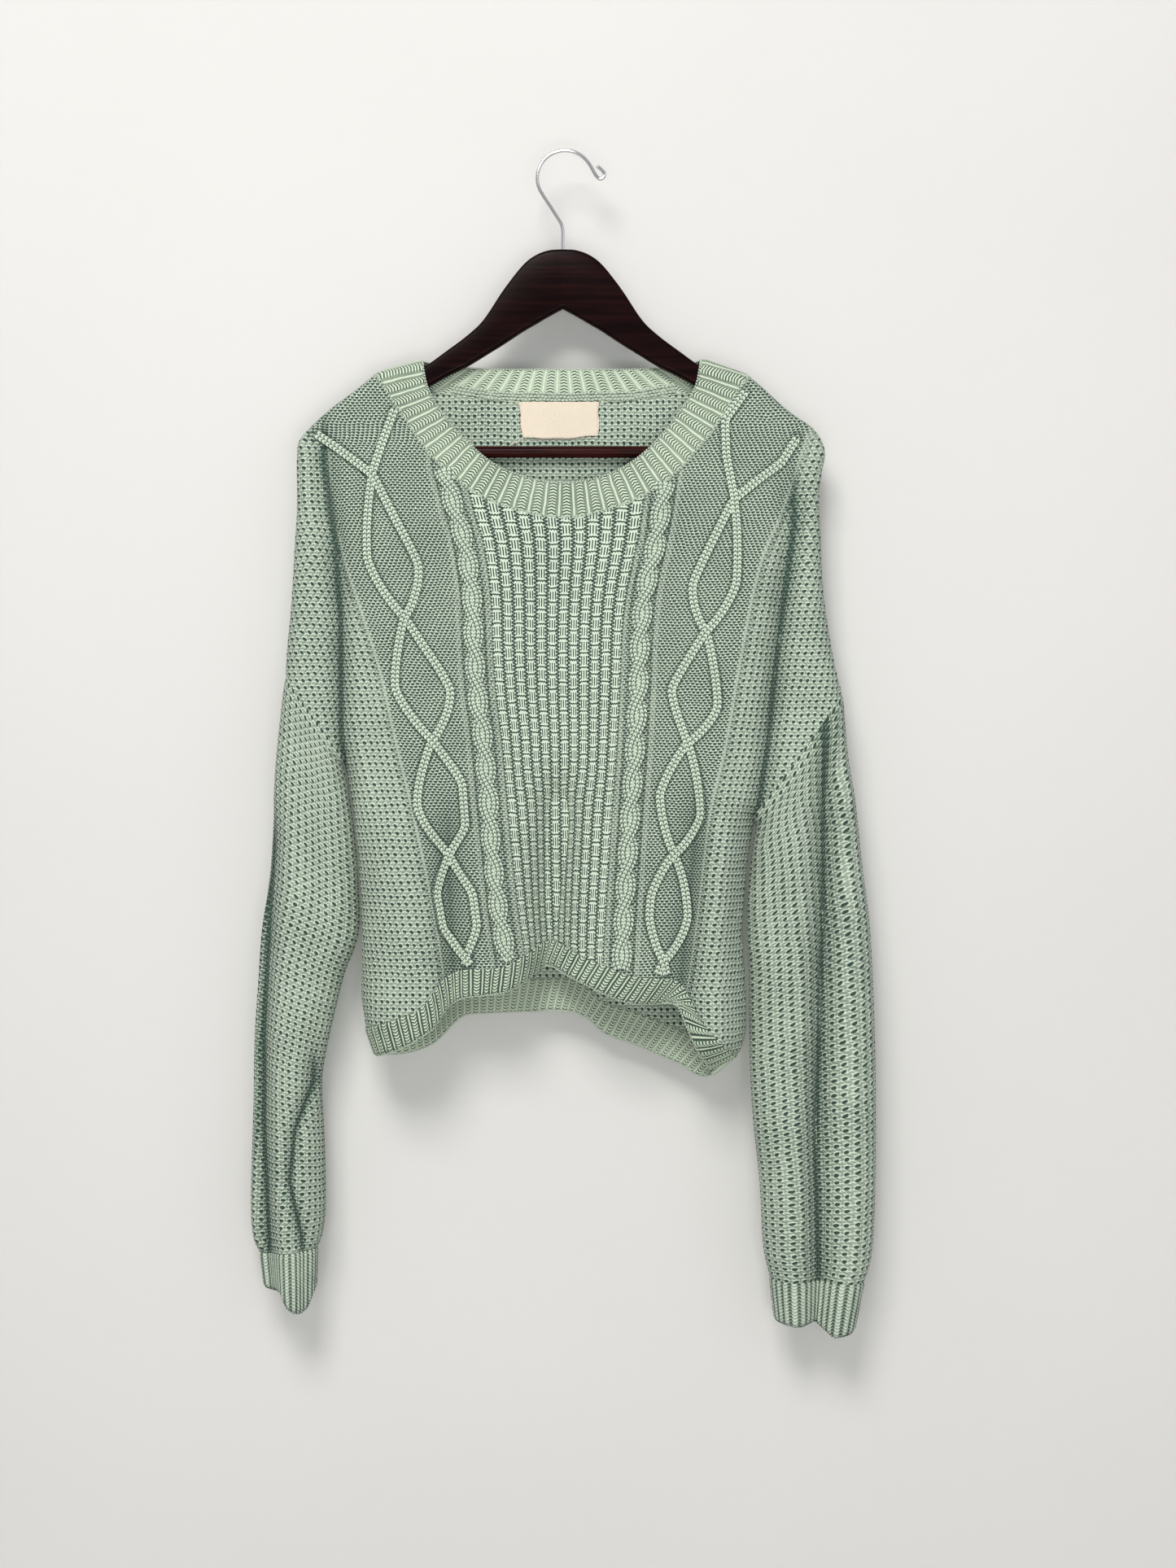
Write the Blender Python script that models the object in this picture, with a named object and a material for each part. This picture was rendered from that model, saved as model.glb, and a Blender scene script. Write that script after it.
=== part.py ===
"""A cropped cable-knit sweater hanging on a wooden hanger with a trouser bar and a wire hook.

Frame: metres, +Z up, the garment's front faces -Y and its left edge, seen from the front, is at -X.
The origin is the inner top of the hook, where the hanger hangs. All sizes below are millimetres.

The cloth is a wall. Its plain inner face comes from named outline curves and a depth for each height.
Its outer points stand off that face by the wall and by the relief of cables, strands and ribs.
"""
import math

import bmesh
import bpy
import numpy as np

MM = 0.001

# ---------------------------------------------------------------- driving sizes
WALL = 2.4              # knitted cloth
OUTLINE_INSET = 3.0     # from the outline that is seen to the inner face: wall and stitch relief
SEAM_GAP = 0.3          # between the front and the back at their seams
EDGE_GAP = 0.55         # between a panel and the sleeve, hem or neckband that is knitted to its edge
RIB_RELIEF = 1.3
STRAND_HALF = 4.6       # half width of one travelling strand of the lattice
STRAND_RELIEF = 2.0
CROSSING_GAP = 2.0      # from a strand's edge to the line of crossings, at a crossing
STRAND_BESIDE = 4.0     # from a strand's edge to the cable or the panel's edge beside it
ROPE_HALF = 9.0         # half width of a rope cable
ROPE_RELIEF = 2.6
ROPE_TWIST = 58.0       # height of one full twist of a rope cable
ROPE_LENGTH = 430.0     # from the neck to the hem along a cable
RIDGE_RELIEF = 1.0
SLEEVE_RELIEF = 0.5     # the sleeves' stitches stand a little higher than the wall
MIN_DEPTH = 6.9         # the cloth's inner face stays this far from the hanger's middle plane
ARMPIT_ROW = 0.5        # the row of the grids that ends at the armpits

NECK_RIBS = 50
HEM_RIBS = 66
CUFF_RIBS = 30
BAND_STEP = 9.0         # longest step of a band's plain inner face

HANGER_THICK = 11.0
HANGER_EDGE_ROUND = 3.6
BAR_RADIUS = 5.0
BAR_Z = -258.0
BAR_SEAT_X = 204.0      # inner faces of the arm ends, which hold the bar
WIRE_RADIUS = 1.6
HOOK_CENTRE = (2.0, -22.4)
HOOK_RADIUS = 24.0      # to the wire's centre line, so that the inner top is at z = 0
STEM_DEPTH = 13.0       # the wire's end in the crown
STEM_CLEARANCE = 0.35

LABEL_BOX = (-38.0, 31.0, -246.0, -214.5)   # left, right, bottom, top
LABEL_THICK = 0.8

# ---------------------------------------------------------------- outlines, (x, z) from the front
SHOULDER_LEFT = ((-161, -190), (-178, -204), (-198, -219), (-215, -234), (-227, -248), (-229, -262),
                 (-229, -306), (-231, -340), (-234, -391), (-237, -422), (-239, -453))
SHOULDER_RIGHT = ((160, -192), (173, -203), (194, -222), (215, -237), (224, -250), (226, -262),
                  (223, -276), (221, -298), (222, -326), (224, -373), (228, -405), (234, -440),
                  (241, -468))
SIDE_LEFT = ((-190, -521), (-184, -545), (-179, -580), (-175, -625), (-173, -681), (-173, -725),
             (-170, -752))
SIDE_RIGHT = ((166, -572), (159, -611), (156, -654), (155, -676), (157, -711), (158, -743),
              (156, -764), (151, -776))
NECK_FRONT = ((-161, -191), (-151, -209), (-142, -221), (-127, -243), (-117, -257), (-102, -272),
              (-77, -292), (-51, -304), (-26, -311), (-4, -314), (18, -313), (44, -306),
              (71, -295), (98, -276), (116, -256), (134, -234), (160, -193))
NECK_BACK = ((-161, -191), (-142, -198), (-112, -204), (-81, -209), (-40, -213), (0, -214),
             (40, -213), (80, -209), (112, -204), (142, -199), (160, -193))
BAND_FRONT = ((-121, -181.4), (-116, -205), (-102, -229), (-79, -254), (-59, -270), (-34, -281),
              (-4, -286), (27, -283), (54, -272), (77, -254), (98, -229), (114, -204), (119, -180.6))
BAND_BACK = ((-121, -181.4), (-100, -183), (-60, -186), (0, -186), (60, -186), (98, -183),
             (119, -180.6))
HEM_TOP_FRONT = ((-170, -752), (-144, -743), (-124, -735), (-112, -724), (-100, -708), (-84, -701),
                 (-54, -699), (-34, -690), (-16, -679), (-6, -678), (6, -684), (21, -692),
                 (41, -699), (60, -706), (82, -708), (98, -711), (108, -724), (118, -743),
                 (132, -759), (151, -776))
HEM_FRONT = ((-162, -776), (-140, -768), (-122, -758), (-108, -747), (-98, -732), (-82, -724),
             (-54, -720), (-36, -712), (-20, -701), (-8, -699), (6, -706), (21, -713), (38, -721),
             (58, -728), (80, -729), (97, -732), (104, -744), (110, -758), (118, -773), (130, -791))
HEM_TOP_BACK = ((-170, -752), (-140, -749), (-115, -738), (-90, -716), (-60, -713), (-28, -712),
                (5, -711), (20, -718), (36, -732), (58, -739), (82, -748), (105, -757),
                (125, -766), (151, -776))
HEM_BACK = ((-162, -776), (-136, -776), (-112, -767), (-88, -744), (-62, -741), (-28, -740),
            (5, -739), (22, -746), (38, -760), (58, -767), (80, -776), (103, -786), (118, -795),
            (130, -791))

# Lines of the knitting on the front, from the neck or shoulder to the hem.
PANEL_EDGE_LEFT = ((-215, -235), (-203, -258), (-200, -311), (-190, -343), (-173, -398),
                   (-158, -445), (-145, -501), (-131, -559), (-122, -601), (-112, -652),
                   (-106, -690), (-103, -711))
CROSSING_LEFT = ((-161, -191), (-165, -235), (-163, -279), (-135, -402), (-111, -507), (-97, -604),
                 (-84, -675), (-78, -701))
ROPE_LEFT = ((-102, -272), (-90, -316), (-83, -340), (-77, -382), (-75, -430), (-72, -470),
             (-67, -510), (-60, -587), (-53, -652), (-46, -694))
ROPE_RIGHT = ((88, -284), (80, -335), (71, -376), (67, -410), (65, -456), (62, -513), (58, -569),
              (52, -660), (50, -702))
CROSSING_RIGHT = ((160, -193), (157, -245), (147, -300), (123, -414), (107, -509), (94, -603),
                  (86, -680), (83, -708))
PANEL_EDGE_RIGHT = ((215, -237), (205, -268), (192, -305), (170, -359), (154, -435), (141, -510),
                    (128, -569), (117, -660), (110, -710), (107, -722))

# Strands of the lattice: height of each crossing and how far the strands swing to each side of it.
#                   crossing z, swing to the left, swing to the right, until the next crossing
LATTICE_LEFT = ((-150, 62, 40), (-279, 21, 31), (-402, 21, 29), (-507, 21, 28), (-604, 21, 19),
                (-690, 8, 8), (-760, 8, 8))
LATTICE_RIGHT = ((-160, 40, 60), (-300, 29, 22), (-414, 24, 25), (-509, 20, 24), (-603, 18, 20),
                 (-694, 8, 8), (-760, 8, 8))

# Depth of the cloth's inner face from the hanger's middle plane, and the radius of its side folds.
#         z,   front, back, round
DEPTHS = ((-185, 7.2, 7.2, 7.2),
          (-250, 7.8, 7.6, 8.5),
          (-300, 10, 8.4, 12),
          (-380, 15, 9.5, 15),
          (-480, 20, 10.5, 18),
          (-560, 25, 11, 21),
          (-650, 31, 12, 25),
          (-720, 37, 13, 28),
          (-800, 38, 13, 30))

# Largest folds: a ridge is positive. Each path is (x, z) from top to bottom, at which it is full.
#                name,            height, half width, path, length of the fade at each end
FRONT_FOLDS = (("wing_crease_left", -9, 10, ((-204, -268), (-196, -324), (-190, -401), (-189, -501),
                                             (-186, -530)), 60),
               ("wing_crease_right", -10, 11, ((198, -324), (184, -428), (176, -504), (166, -572)), 70),
               ("chest_left", 5, 26, ((-150, -330), (-140, -420), (-118, -540), (-110, -600)), 80),
               ("chest_right", 6, 24, ((158, -380), (140, -470), (128, -560), (124, -620)), 80),
               ("rope_ridge_left", 4, 20, ((-75, -430), (-62, -560), (-45, -700)), 120),
               ("rope_ridge_right", 4, 20, ((70, -430), (62, -560), (50, -700)), 120),
               ("centre_hollow", -6, 30, ((0, -420), (-2, -560), (-8, -640)), 110),
               ("hem_corner_left", 8, 20, ((-140, -600), (-124, -690), (-116, -760)), 90),
               ("hem_step_left", -10, 14, ((-97, -610), (-93, -690), (-90, -760)), 70),
               ("lattice_trough_left", -4, 11, ((-66, -600), (-62, -660), (-61, -740)), 50),
               ("hem_notch", -22, 17, ((-4, -580), (-8, -640), (-12, -720)), 60),
               ("hem_step_right", -9, 14, ((112, -600), (104, -680), (98, -740)), 70),
               ("hem_corner_right", 8, 18, ((132, -600), (128, -690), (126, -780)), 90))
BACK_FOLDS = (("wing_crease_left", -3, 12, ((-196, -330), (-190, -430), (-186, -530)), 60),
              ("wing_crease_right", -3, 12, ((190, -340), (178, -450), (166, -560)), 60),
              ("back_wave_left", 3.5, 26, ((-110, -420), (-118, -600), (-128, -770)), 150),
              ("back_hollow_left", -4, 20, ((-80, -560), (-80, -650), (-84, -750)), 90),
              ("back_wave_centre", 3, 30, ((-30, -450), (-28, -600), (-20, -750)), 140),
              ("back_hollow_right", -5, 16, ((30, -600), (24, -680), (22, -760)), 80),
              ("back_wave_right", 3.5, 28, ((90, -420), (82, -600), (74, -780)), 150))

# Sleeves: both edges from the armhole to the cuff, with the depths of the tube.
SLEEVE_OUTER_LEFT = ((-239, -455), (-245, -508), (-248, -544), (-252, -615), (-259, -668),
                     (-262, -713), (-265, -762), (-266, -821), (-268, -901), (-266, -932),
                     (-260, -947))
SLEEVE_INNER_LEFT = ((-191, -523), (-189, -548), (-184, -585), (-181, -625), (-179, -663),
                     (-181, -684), (-188, -708), (-196, -740), (-203, -771), (-207, -800),
                     (-205, -849), (-204, -901), (-206, -927), (-211, -942))
SLEEVE_OUTER_RIGHT = ((241, -470), (245, -519), (251, -556), (257, -611), (264, -668), (268, -754),
                      (269, -835), (268, -910), (265, -950), (259, -971))
SLEEVE_INNER_RIGHT = ((168, -575), (166, -600), (163, -628), (162, -654), (162, -680), (163, -711),
                      (163, -747), (162, -783), (164, -835), (169, -885), (172, -940), (178, -968))
#                z, front, back, round
SLEEVE_DEPTHS = ((-450, 17, 10, 17),
                 (-560, 20, 11, 22),
                 (-700, 22, 12, 25),
                 (-900, 22, 12, 24),
                 (-1000, 17, 12, 18))
SLEEVE_FOLDS_LEFT = (("outer_crease", -13, 9, ((-247, -600), (-252, -690), (-255, -760), (-255, -830),
                                              (-250, -950)), 80),
                     ("front_ridge", 4, 16, ((-222, -600), (-226, -720), (-231, -830), (-226, -940)), 110),
                     ("lower_valley", -7, 9, ((-214, -850), (-216, -900), (-218, -950)), 60))
SLEEVE_FOLDS_RIGHT = (("front_crease", -14, 12, ((223, -497), (223, -640), (219, -760), (216, -860),
                                                (219, -960)), 90),
                      ("inner_ridge", 5, 18, ((196, -600), (197, -760), (198, -940)), 120),
                      ("outer_ridge", 4, 15, ((246, -560), (248, -720), (248, -940)), 120))
SLEEVE_BACK_FOLDS_LEFT = (("rear_hollow", -3, 14, ((-225, -600), (-232, -800), (-235, -930)), 120),)
SLEEVE_BACK_FOLDS_RIGHT = (("rear_hollow", -3, 16, ((212, -640), (214, -800), (214, -930)), 120),)

# Cuffs: where each edge ends, and how far the cuff's bottom hangs below that line across its width.
#            outer end,     inner end,     drop at 0, 1/4, 1/2, 3/4 and 1 of the width
CUFF_LEFT = ((-257, -974), (-212, -974), (0, 2, 12, 21, 2))
CUFF_RIGHT = ((251, -1010), (182, -1003), (2, 7, -4, 1, 0))

# Hanger: top and bottom edge from the middle to the end, the same on both sides.
#                x,  top z, bottom z
HANGER_STATIONS = ((0, -84.0, -135.0),
                   (12, -84.9, -141.5),
                   (24, -89.5, -148.5),
                   (35, -98.5, -155.0),
                   (51, -119.0, -165.5),
                   (68, -144.5, -176.0),
                   (82, -158.0, -184.5),
                   (100, -171.5, -193.5),
                   (120, -185.5, -204.5),
                   (145, -197.5, -216.5),
                   (170, -211.0, -229.5),
                   (190, -224.2, -241.0),
                   (203.9, -234.8, -248.0),
                   (204, -234.9, -265.0),
                   (210, -240.8, -266.0),
                   (215, -247.0, -263.0),
                   (217, -251.0, -259.0))

# Hook: the wire's free end after the round of the hook, and its way down into the crown.
HOOK_ROUND_FROM = 36.0      # degrees, near the free end
HOOK_ROUND_TO = 205.0       # where the round ends on the far side
HOOK_CURL = ((25.2, -14.2), (28.6, -20.4), (31.9, -22.9), (35.2, -21.8), (36.0, -18.6),
             (34.0, -15.8), (31.2, -13.4), (29.2, -11.8))
HOOK_STEM = ((-11.5, -45.5), (-4.0, -57.2), (-1.2, -62.0), (0.0, -68.0), (0.0, -80.0))

COLOURS = {"knit": (0.40, 0.52, 0.42),
           "label": (0.75, 0.68, 0.54),
           "wood": (0.020, 0.006, 0.005),
           "bar": (0.055, 0.012, 0.010),
           "steel": (0.62, 0.62, 0.63)}


# ---------------------------------------------------------------- curves
def spline(points, per_span=8):
    """Dense smooth curve through points, as a Catmull-Rom spline."""
    pts = np.array(points, float)
    ends = np.vstack((2 * pts[0] - pts[1], pts, 2 * pts[-1] - pts[-2]))
    t = np.linspace(0, 1, per_span, endpoint=False)[:, None]
    spans = []
    for a, b, c, d in zip(ends[:-3], ends[1:-2], ends[2:-1], ends[3:]):
        spans.append(0.5 * (2 * b + (c - a) * t + (2 * a - 5 * b + 4 * c - d) * t ** 2
                            + (3 * b - a - 3 * c + d) * t ** 3))
    return np.vstack(spans + [pts[-1:]])


def fractions(curve):
    """Share of the curve's length at each of its points."""
    steps = np.linalg.norm(np.diff(curve, axis=0), axis=1)
    length = np.concatenate(([0], np.cumsum(steps)))
    return length / length[-1]


def along(curve, share):
    """Points at the given shares of a curve's length."""
    where = fractions(curve)
    return np.stack([np.interp(share, where, column) for column in curve.T], axis=-1)


def on_edge(points, at, where):
    """Points of a polyline whose corners stand at the values of at."""
    return np.stack([np.interp(where, at, column) for column in points.T], axis=-1)


def share_nearest(curve, point):
    """Share of a curve's length at its point nearest to the given one."""
    shares = np.linspace(0, 1, 8001)
    dense = along(curve, shares)
    return shares[np.argmin(np.linalg.norm(dense - np.array(point), axis=1))]


def inset(curve, distance, towards):
    """The curve moved sideways in its plane by a distance, to the side of a given point."""
    tangent = np.gradient(curve, axis=0)
    normal = np.stack((-tangent[:, 1], tangent[:, 0]), axis=1)
    normal /= np.linalg.norm(normal, axis=1)[:, None]
    side = np.sign(np.sum((np.array(towards) - curve) * normal, axis=1))
    return curve + normal * side[:, None] * distance


def distance_to(curve, x, z):
    """Distance in the front view from points to a dense curve."""
    point = np.stack((x, z), axis=-1)[..., None, :]
    start = curve[:-1]
    run = curve[1:] - start
    share = np.clip(np.sum((point - start) * run, axis=-1) / np.sum(run * run, axis=-1), 0, 1)
    nearest = start + share[..., None] * run
    return np.min(np.linalg.norm(point - nearest, axis=-1), axis=-1)


def rounding(distance, radius):
    """Quarter-round profile: 0 at a folded edge, 1 from one radius away."""
    share = np.clip(distance / radius, 0, 1)
    return np.sqrt(1 - (1 - share) ** 2)


def fold_height(folds, x, z):
    """Sum of ridges and troughs at points of the front view."""
    total = np.zeros_like(x)
    for _name, height, half_width, path, fade in folds:
        line = np.array(path, float)[::-1]
        centre = np.interp(z, line[:, 1], line[:, 0])
        above = np.clip((line[-1, 1] + fade - z) / fade, 0, 1)
        below = np.clip((z - line[0, 1] + fade) / fade, 0, 1)
        strength = (above ** 2 * (3 - 2 * above)) * (below ** 2 * (3 - 2 * below))
        total += height * strength * np.exp(-((x - centre) / half_width) ** 2)
    return total


# ---------------------------------------------------------------- meshes
def bridge(lower, upper, lower_share, upper_share):
    """Triangles between two rows of vertex indices that run the same way with other counts."""
    faces = []
    i, j = 0, 0
    while i < len(lower) - 1 or j < len(upper) - 1:
        step_lower = j == len(upper) - 1
        if not step_lower and i < len(lower) - 1:
            step_lower = lower_share[i] + lower_share[i + 1] <= upper_share[j] + upper_share[j + 1]
        if step_lower:
            faces.append((lower[i], lower[i + 1], upper[j]))
            i += 1
        else:
            faces.append((lower[i], upper[j + 1], upper[j]))
            j += 1
    return faces


def grid_faces(index, flip):
    """Two triangles for each cell of a grid of vertex indices."""
    faces = []
    for a, b in zip(index[:-1], index[1:]):
        for k in range(len(a) - 1):
            first = (a[k], b[k], b[k + 1])
            second = (a[k], b[k + 1], a[k + 1])
            faces += [first, second]
    if flip:
        faces = [face[::-1] for face in faces]
    return faces


def cloth_mesh(outer, inner, tube, rows, columns):
    """Closed wall between an outer and an inner grid of points, open at a tube's two ends.

    rows and columns hold, for the outer and the inner grid, the share of each line. An outer grid whose
    columns stand elsewhere at its top and its bottom has a pair of rows of shares.
    """
    outer_shares = np.atleast_2d(columns[0])
    outer_index = np.arange(outer.shape[0] * outer.shape[1]).reshape(outer.shape[:2])
    offset = outer_index.size
    inner_index = offset + np.arange(inner.shape[0] * inner.shape[1]).reshape(inner.shape[:2])
    if tube:
        outer_index = np.hstack((outer_index, outer_index[:, :1]))
        inner_index = np.hstack((inner_index, inner_index[:, :1]))
    points = np.vstack((outer.reshape(-1, 3), inner.reshape(-1, 3)))
    faces = grid_faces(outer_index, False) + grid_faces(inner_index, True)
    faces += bridge(outer_index[0], inner_index[0], outer_shares[0], columns[1])
    faces += [f[::-1] for f in bridge(outer_index[-1], inner_index[-1], outer_shares[-1], columns[1])]
    if not tube:
        faces += [f[::-1] for f in bridge(outer_index[:, 0], inner_index[:, 0], rows[0], rows[1])]
        faces += bridge(outer_index[:, -1], inner_index[:, -1], rows[0], rows[1])
    return points, faces


def material(name, colour, roughness, metallic=0.0):
    """Principled material of one piece."""
    made = bpy.data.materials.new(name)
    made.use_nodes = True
    shader = made.node_tree.nodes["Principled BSDF"]
    shader.inputs["Base Color"].default_value = (*colour, 1.0)
    shader.inputs["Roughness"].default_value = roughness
    shader.inputs["Metallic"].default_value = metallic
    return made


def add_object(name, points, faces, made, smooth_angle=40):
    """Object from points in millimetres, its faces turned outward."""
    mesh = bpy.data.meshes.new(name)
    mesh.from_pydata([tuple(p) for p in np.asarray(points) * MM], [], faces)
    work = bmesh.new()
    work.from_mesh(mesh)
    bmesh.ops.recalc_face_normals(work, faces=work.faces)
    work.to_mesh(mesh)
    work.free()
    mesh.shade_smooth()
    mesh.set_sharp_from_angle(angle=math.radians(smooth_angle))
    mesh.materials.append(made)
    thing = bpy.data.objects.new(name, mesh)
    bpy.context.collection.objects.link(thing)
    return thing


# ---------------------------------------------------------------- the body's inner face
class Outline:
    """Edges of the body's inner face in the front view, and its depth at any point of it."""

    def __init__(self):
        middle = (0, -420)
        self.shoulders = (inset(spline(SHOULDER_LEFT), OUTLINE_INSET, middle),
                          inset(spline(SHOULDER_RIGHT), OUTLINE_INSET, middle))
        self.sides = (inset(spline(SIDE_LEFT), OUTLINE_INSET, middle),
                      inset(spline(SIDE_RIGHT), OUTLINE_INSET, middle))
        self.closed = self.shoulders + self.sides

    def armhole(self, side):
        """Straight armhole from the shoulder fold to the armpit."""
        return np.vstack((self.shoulders[side][-1], self.sides[side][0]))

    def depth(self, x, z, front):
        """Distance of the inner face from the middle plane."""
        table = np.array(DEPTHS, float)[::-1]
        full = np.interp(z, table[:, 0], table[:, 1 if front else 2])
        radius = np.interp(z, table[:, 0], table[:, 3])
        full = full + fold_height(FRONT_FOLDS if front else BACK_FOLDS, x, z)
        near = np.min([distance_to(curve, x, z) for curve in self.closed], axis=0)
        return np.maximum(full, MIN_DEPTH) * rounding(near, radius)


class Guide:
    """Line of the knitting from the top edge to the hem, read by row share."""

    def __init__(self, *stretches):
        # each stretch: (share where it ends, dense curve)
        self.stretches = stretches

    def at(self, row):
        """Points of the line at row shares."""
        row = np.asarray(row, float)
        result = np.zeros(row.shape + (2,))
        start = 0.0
        for end, curve in self.stretches:
            inside = (row >= start) & (row <= end)
            share = np.clip((row - start) / (end - start), 0, 1)
            result[inside] = along(curve, share)[inside]
            start = end
        return result


class Panel:
    """Front or back: patches between guides, each spanned from its four edges."""

    def __init__(self, outline, guides, top, bottom, front, neck_columns):
        self.neck_columns = neck_columns
        self.outline = outline
        self.guides = guides
        self.top = top
        self.bottom = bottom
        self.front = front
        rows = (0.0, 1.0)
        self.top_share = [share_nearest(top, g.at(rows)[0]) for g in guides]
        self.bottom_share = [share_nearest(bottom, g.at(rows)[1]) for g in guides]
        self.top_share[0], self.top_share[-1] = 0.0, 1.0
        self.bottom_share[0], self.bottom_share[-1] = 0.0, 1.0

    def front_view(self, patch, u, v):
        """Coons patch between two guides in the front view."""
        u, v = np.broadcast_arrays(u, v)
        left = self.guides[patch].at(v)
        right = self.guides[patch + 1].at(v)
        top = along(self.top, self.top_share[patch] + u * (self.top_share[patch + 1]
                                                         - self.top_share[patch]))
        bottom = along(self.bottom, self.bottom_share[patch] + u * (self.bottom_share[patch + 1]
                                                                  - self.bottom_share[patch]))
        ends_left = self.guides[patch].at((0.0, 1.0))
        ends_right = self.guides[patch + 1].at((0.0, 1.0))
        u = u[..., None]
        v = v[..., None]
        corner_top = (1 - u) * ends_left[0] + u * ends_right[0]
        corner_bottom = (1 - u) * ends_left[1] + u * ends_right[1]
        sides = (1 - u) * left + u * right
        return sides + (1 - v) * (top - corner_top) + v * (bottom - corner_bottom)

    def surface(self, patch, u, v):
        """Points of the inner face."""
        flat = self.front_view(patch, u, v)
        x = flat[..., 0]
        z = flat[..., 1]
        depth = self.outline.depth(x, z, self.front) + SEAM_GAP / 2
        return np.stack((x, -depth if self.front else depth, z), axis=-1)


def grid_normals(points, facing):
    """Unit normals of a grid of points, turned to the side of the given sign along Y."""
    down = np.gradient(points, axis=0)
    across = np.gradient(points, axis=1)
    normal = np.cross(across, down) * facing
    length = np.linalg.norm(normal, axis=-1, keepdims=True)
    return normal / np.maximum(length, 1e-9)


def flatten(normal, direction):
    """Normals with their part along a direction taken out."""
    direction = np.asarray(direction, float)
    unit = direction / np.linalg.norm(direction, axis=-1, keepdims=True)
    left = normal - unit * np.sum(normal * unit, axis=-1, keepdims=True)
    return left / np.linalg.norm(left, axis=-1, keepdims=True)


def bilinear(grid, column, row, column_at, row_at):
    """Values of a grid at fractional columns and rows."""
    c = np.clip(np.searchsorted(column_at, column, side="right") - 1, 0, len(column_at) - 2)
    r = np.clip(np.searchsorted(row_at, row, side="right") - 1, 0, len(row_at) - 2)
    s = ((column - column_at[c]) / (column_at[c + 1] - column_at[c]))[..., None]
    t = ((row - row_at[r]) / (row_at[r + 1] - row_at[r]))[..., None]
    upper = grid[r, c] * (1 - s) + grid[r, c + 1] * s
    lower = grid[r + 1, c] * (1 - s) + grid[r + 1, c + 1] * s
    return upper * (1 - t) + lower * t


def with_middles(values, from_value):
    """The values with the middle of each interval added from a given value on."""
    result = [values[0]]
    for a, b in zip(values[:-1], values[1:]):
        if a >= from_value:
            result.append((a + b) / 2)
        result.append(b)
    return np.array(result)


ROWS = np.array((0, 0.003, 0.014, 0.04, 0.08, 0.13, 0.18, 0.24, 0.30, 0.36, 0.43, 0.475, 0.5,
                 0.56, 0.62, 0.68, 0.74, 0.8, 0.87, 0.94, 1))
PIT_SHARE = 0.475 / ARMPIT_ROW      # the armhole's share at the last row above the armpit
ARMHOLE_BLEND = ((1, 0.85), (2, 0.4))   # how far the columns beside an armhole turn along its cut
TOP_FADE = 0.08         # rows over which the relief grows from the top edge, and to the hem
HEM_FADE = 0.06
SIDE_PATCH = (0, 0.02, 0.06, 0.15, 0.32, 0.53, 0.73, 0.87, 0.94, 1)
SHOULDER_PATCH = (0, 0.33, 0.66, 1)
NECK_PATCH = (0, 0.06, 0.16, 0.3, 0.5, 0.75, 1)
FRONT_MIDDLE = (0, 0.1, 0.22, 0.35, 0.5, 0.65, 0.78, 0.9, 1)
BACK_MIDDLE = (0, 0.015, 0.06, 0.16, 0.32, 0.5, 0.68, 0.84, 0.94, 0.985, 1)


def mirrored(values):
    """The same intervals from the other side."""
    return tuple(1 - value for value in reversed(values))


def coarse_columns(patches):
    """Columns of a whole panel, counted as patch number plus share."""
    columns = [0.0]
    for number, shares in enumerate(patches):
        columns += [number + share for share in shares[1:]]
    return np.array(columns)


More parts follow.
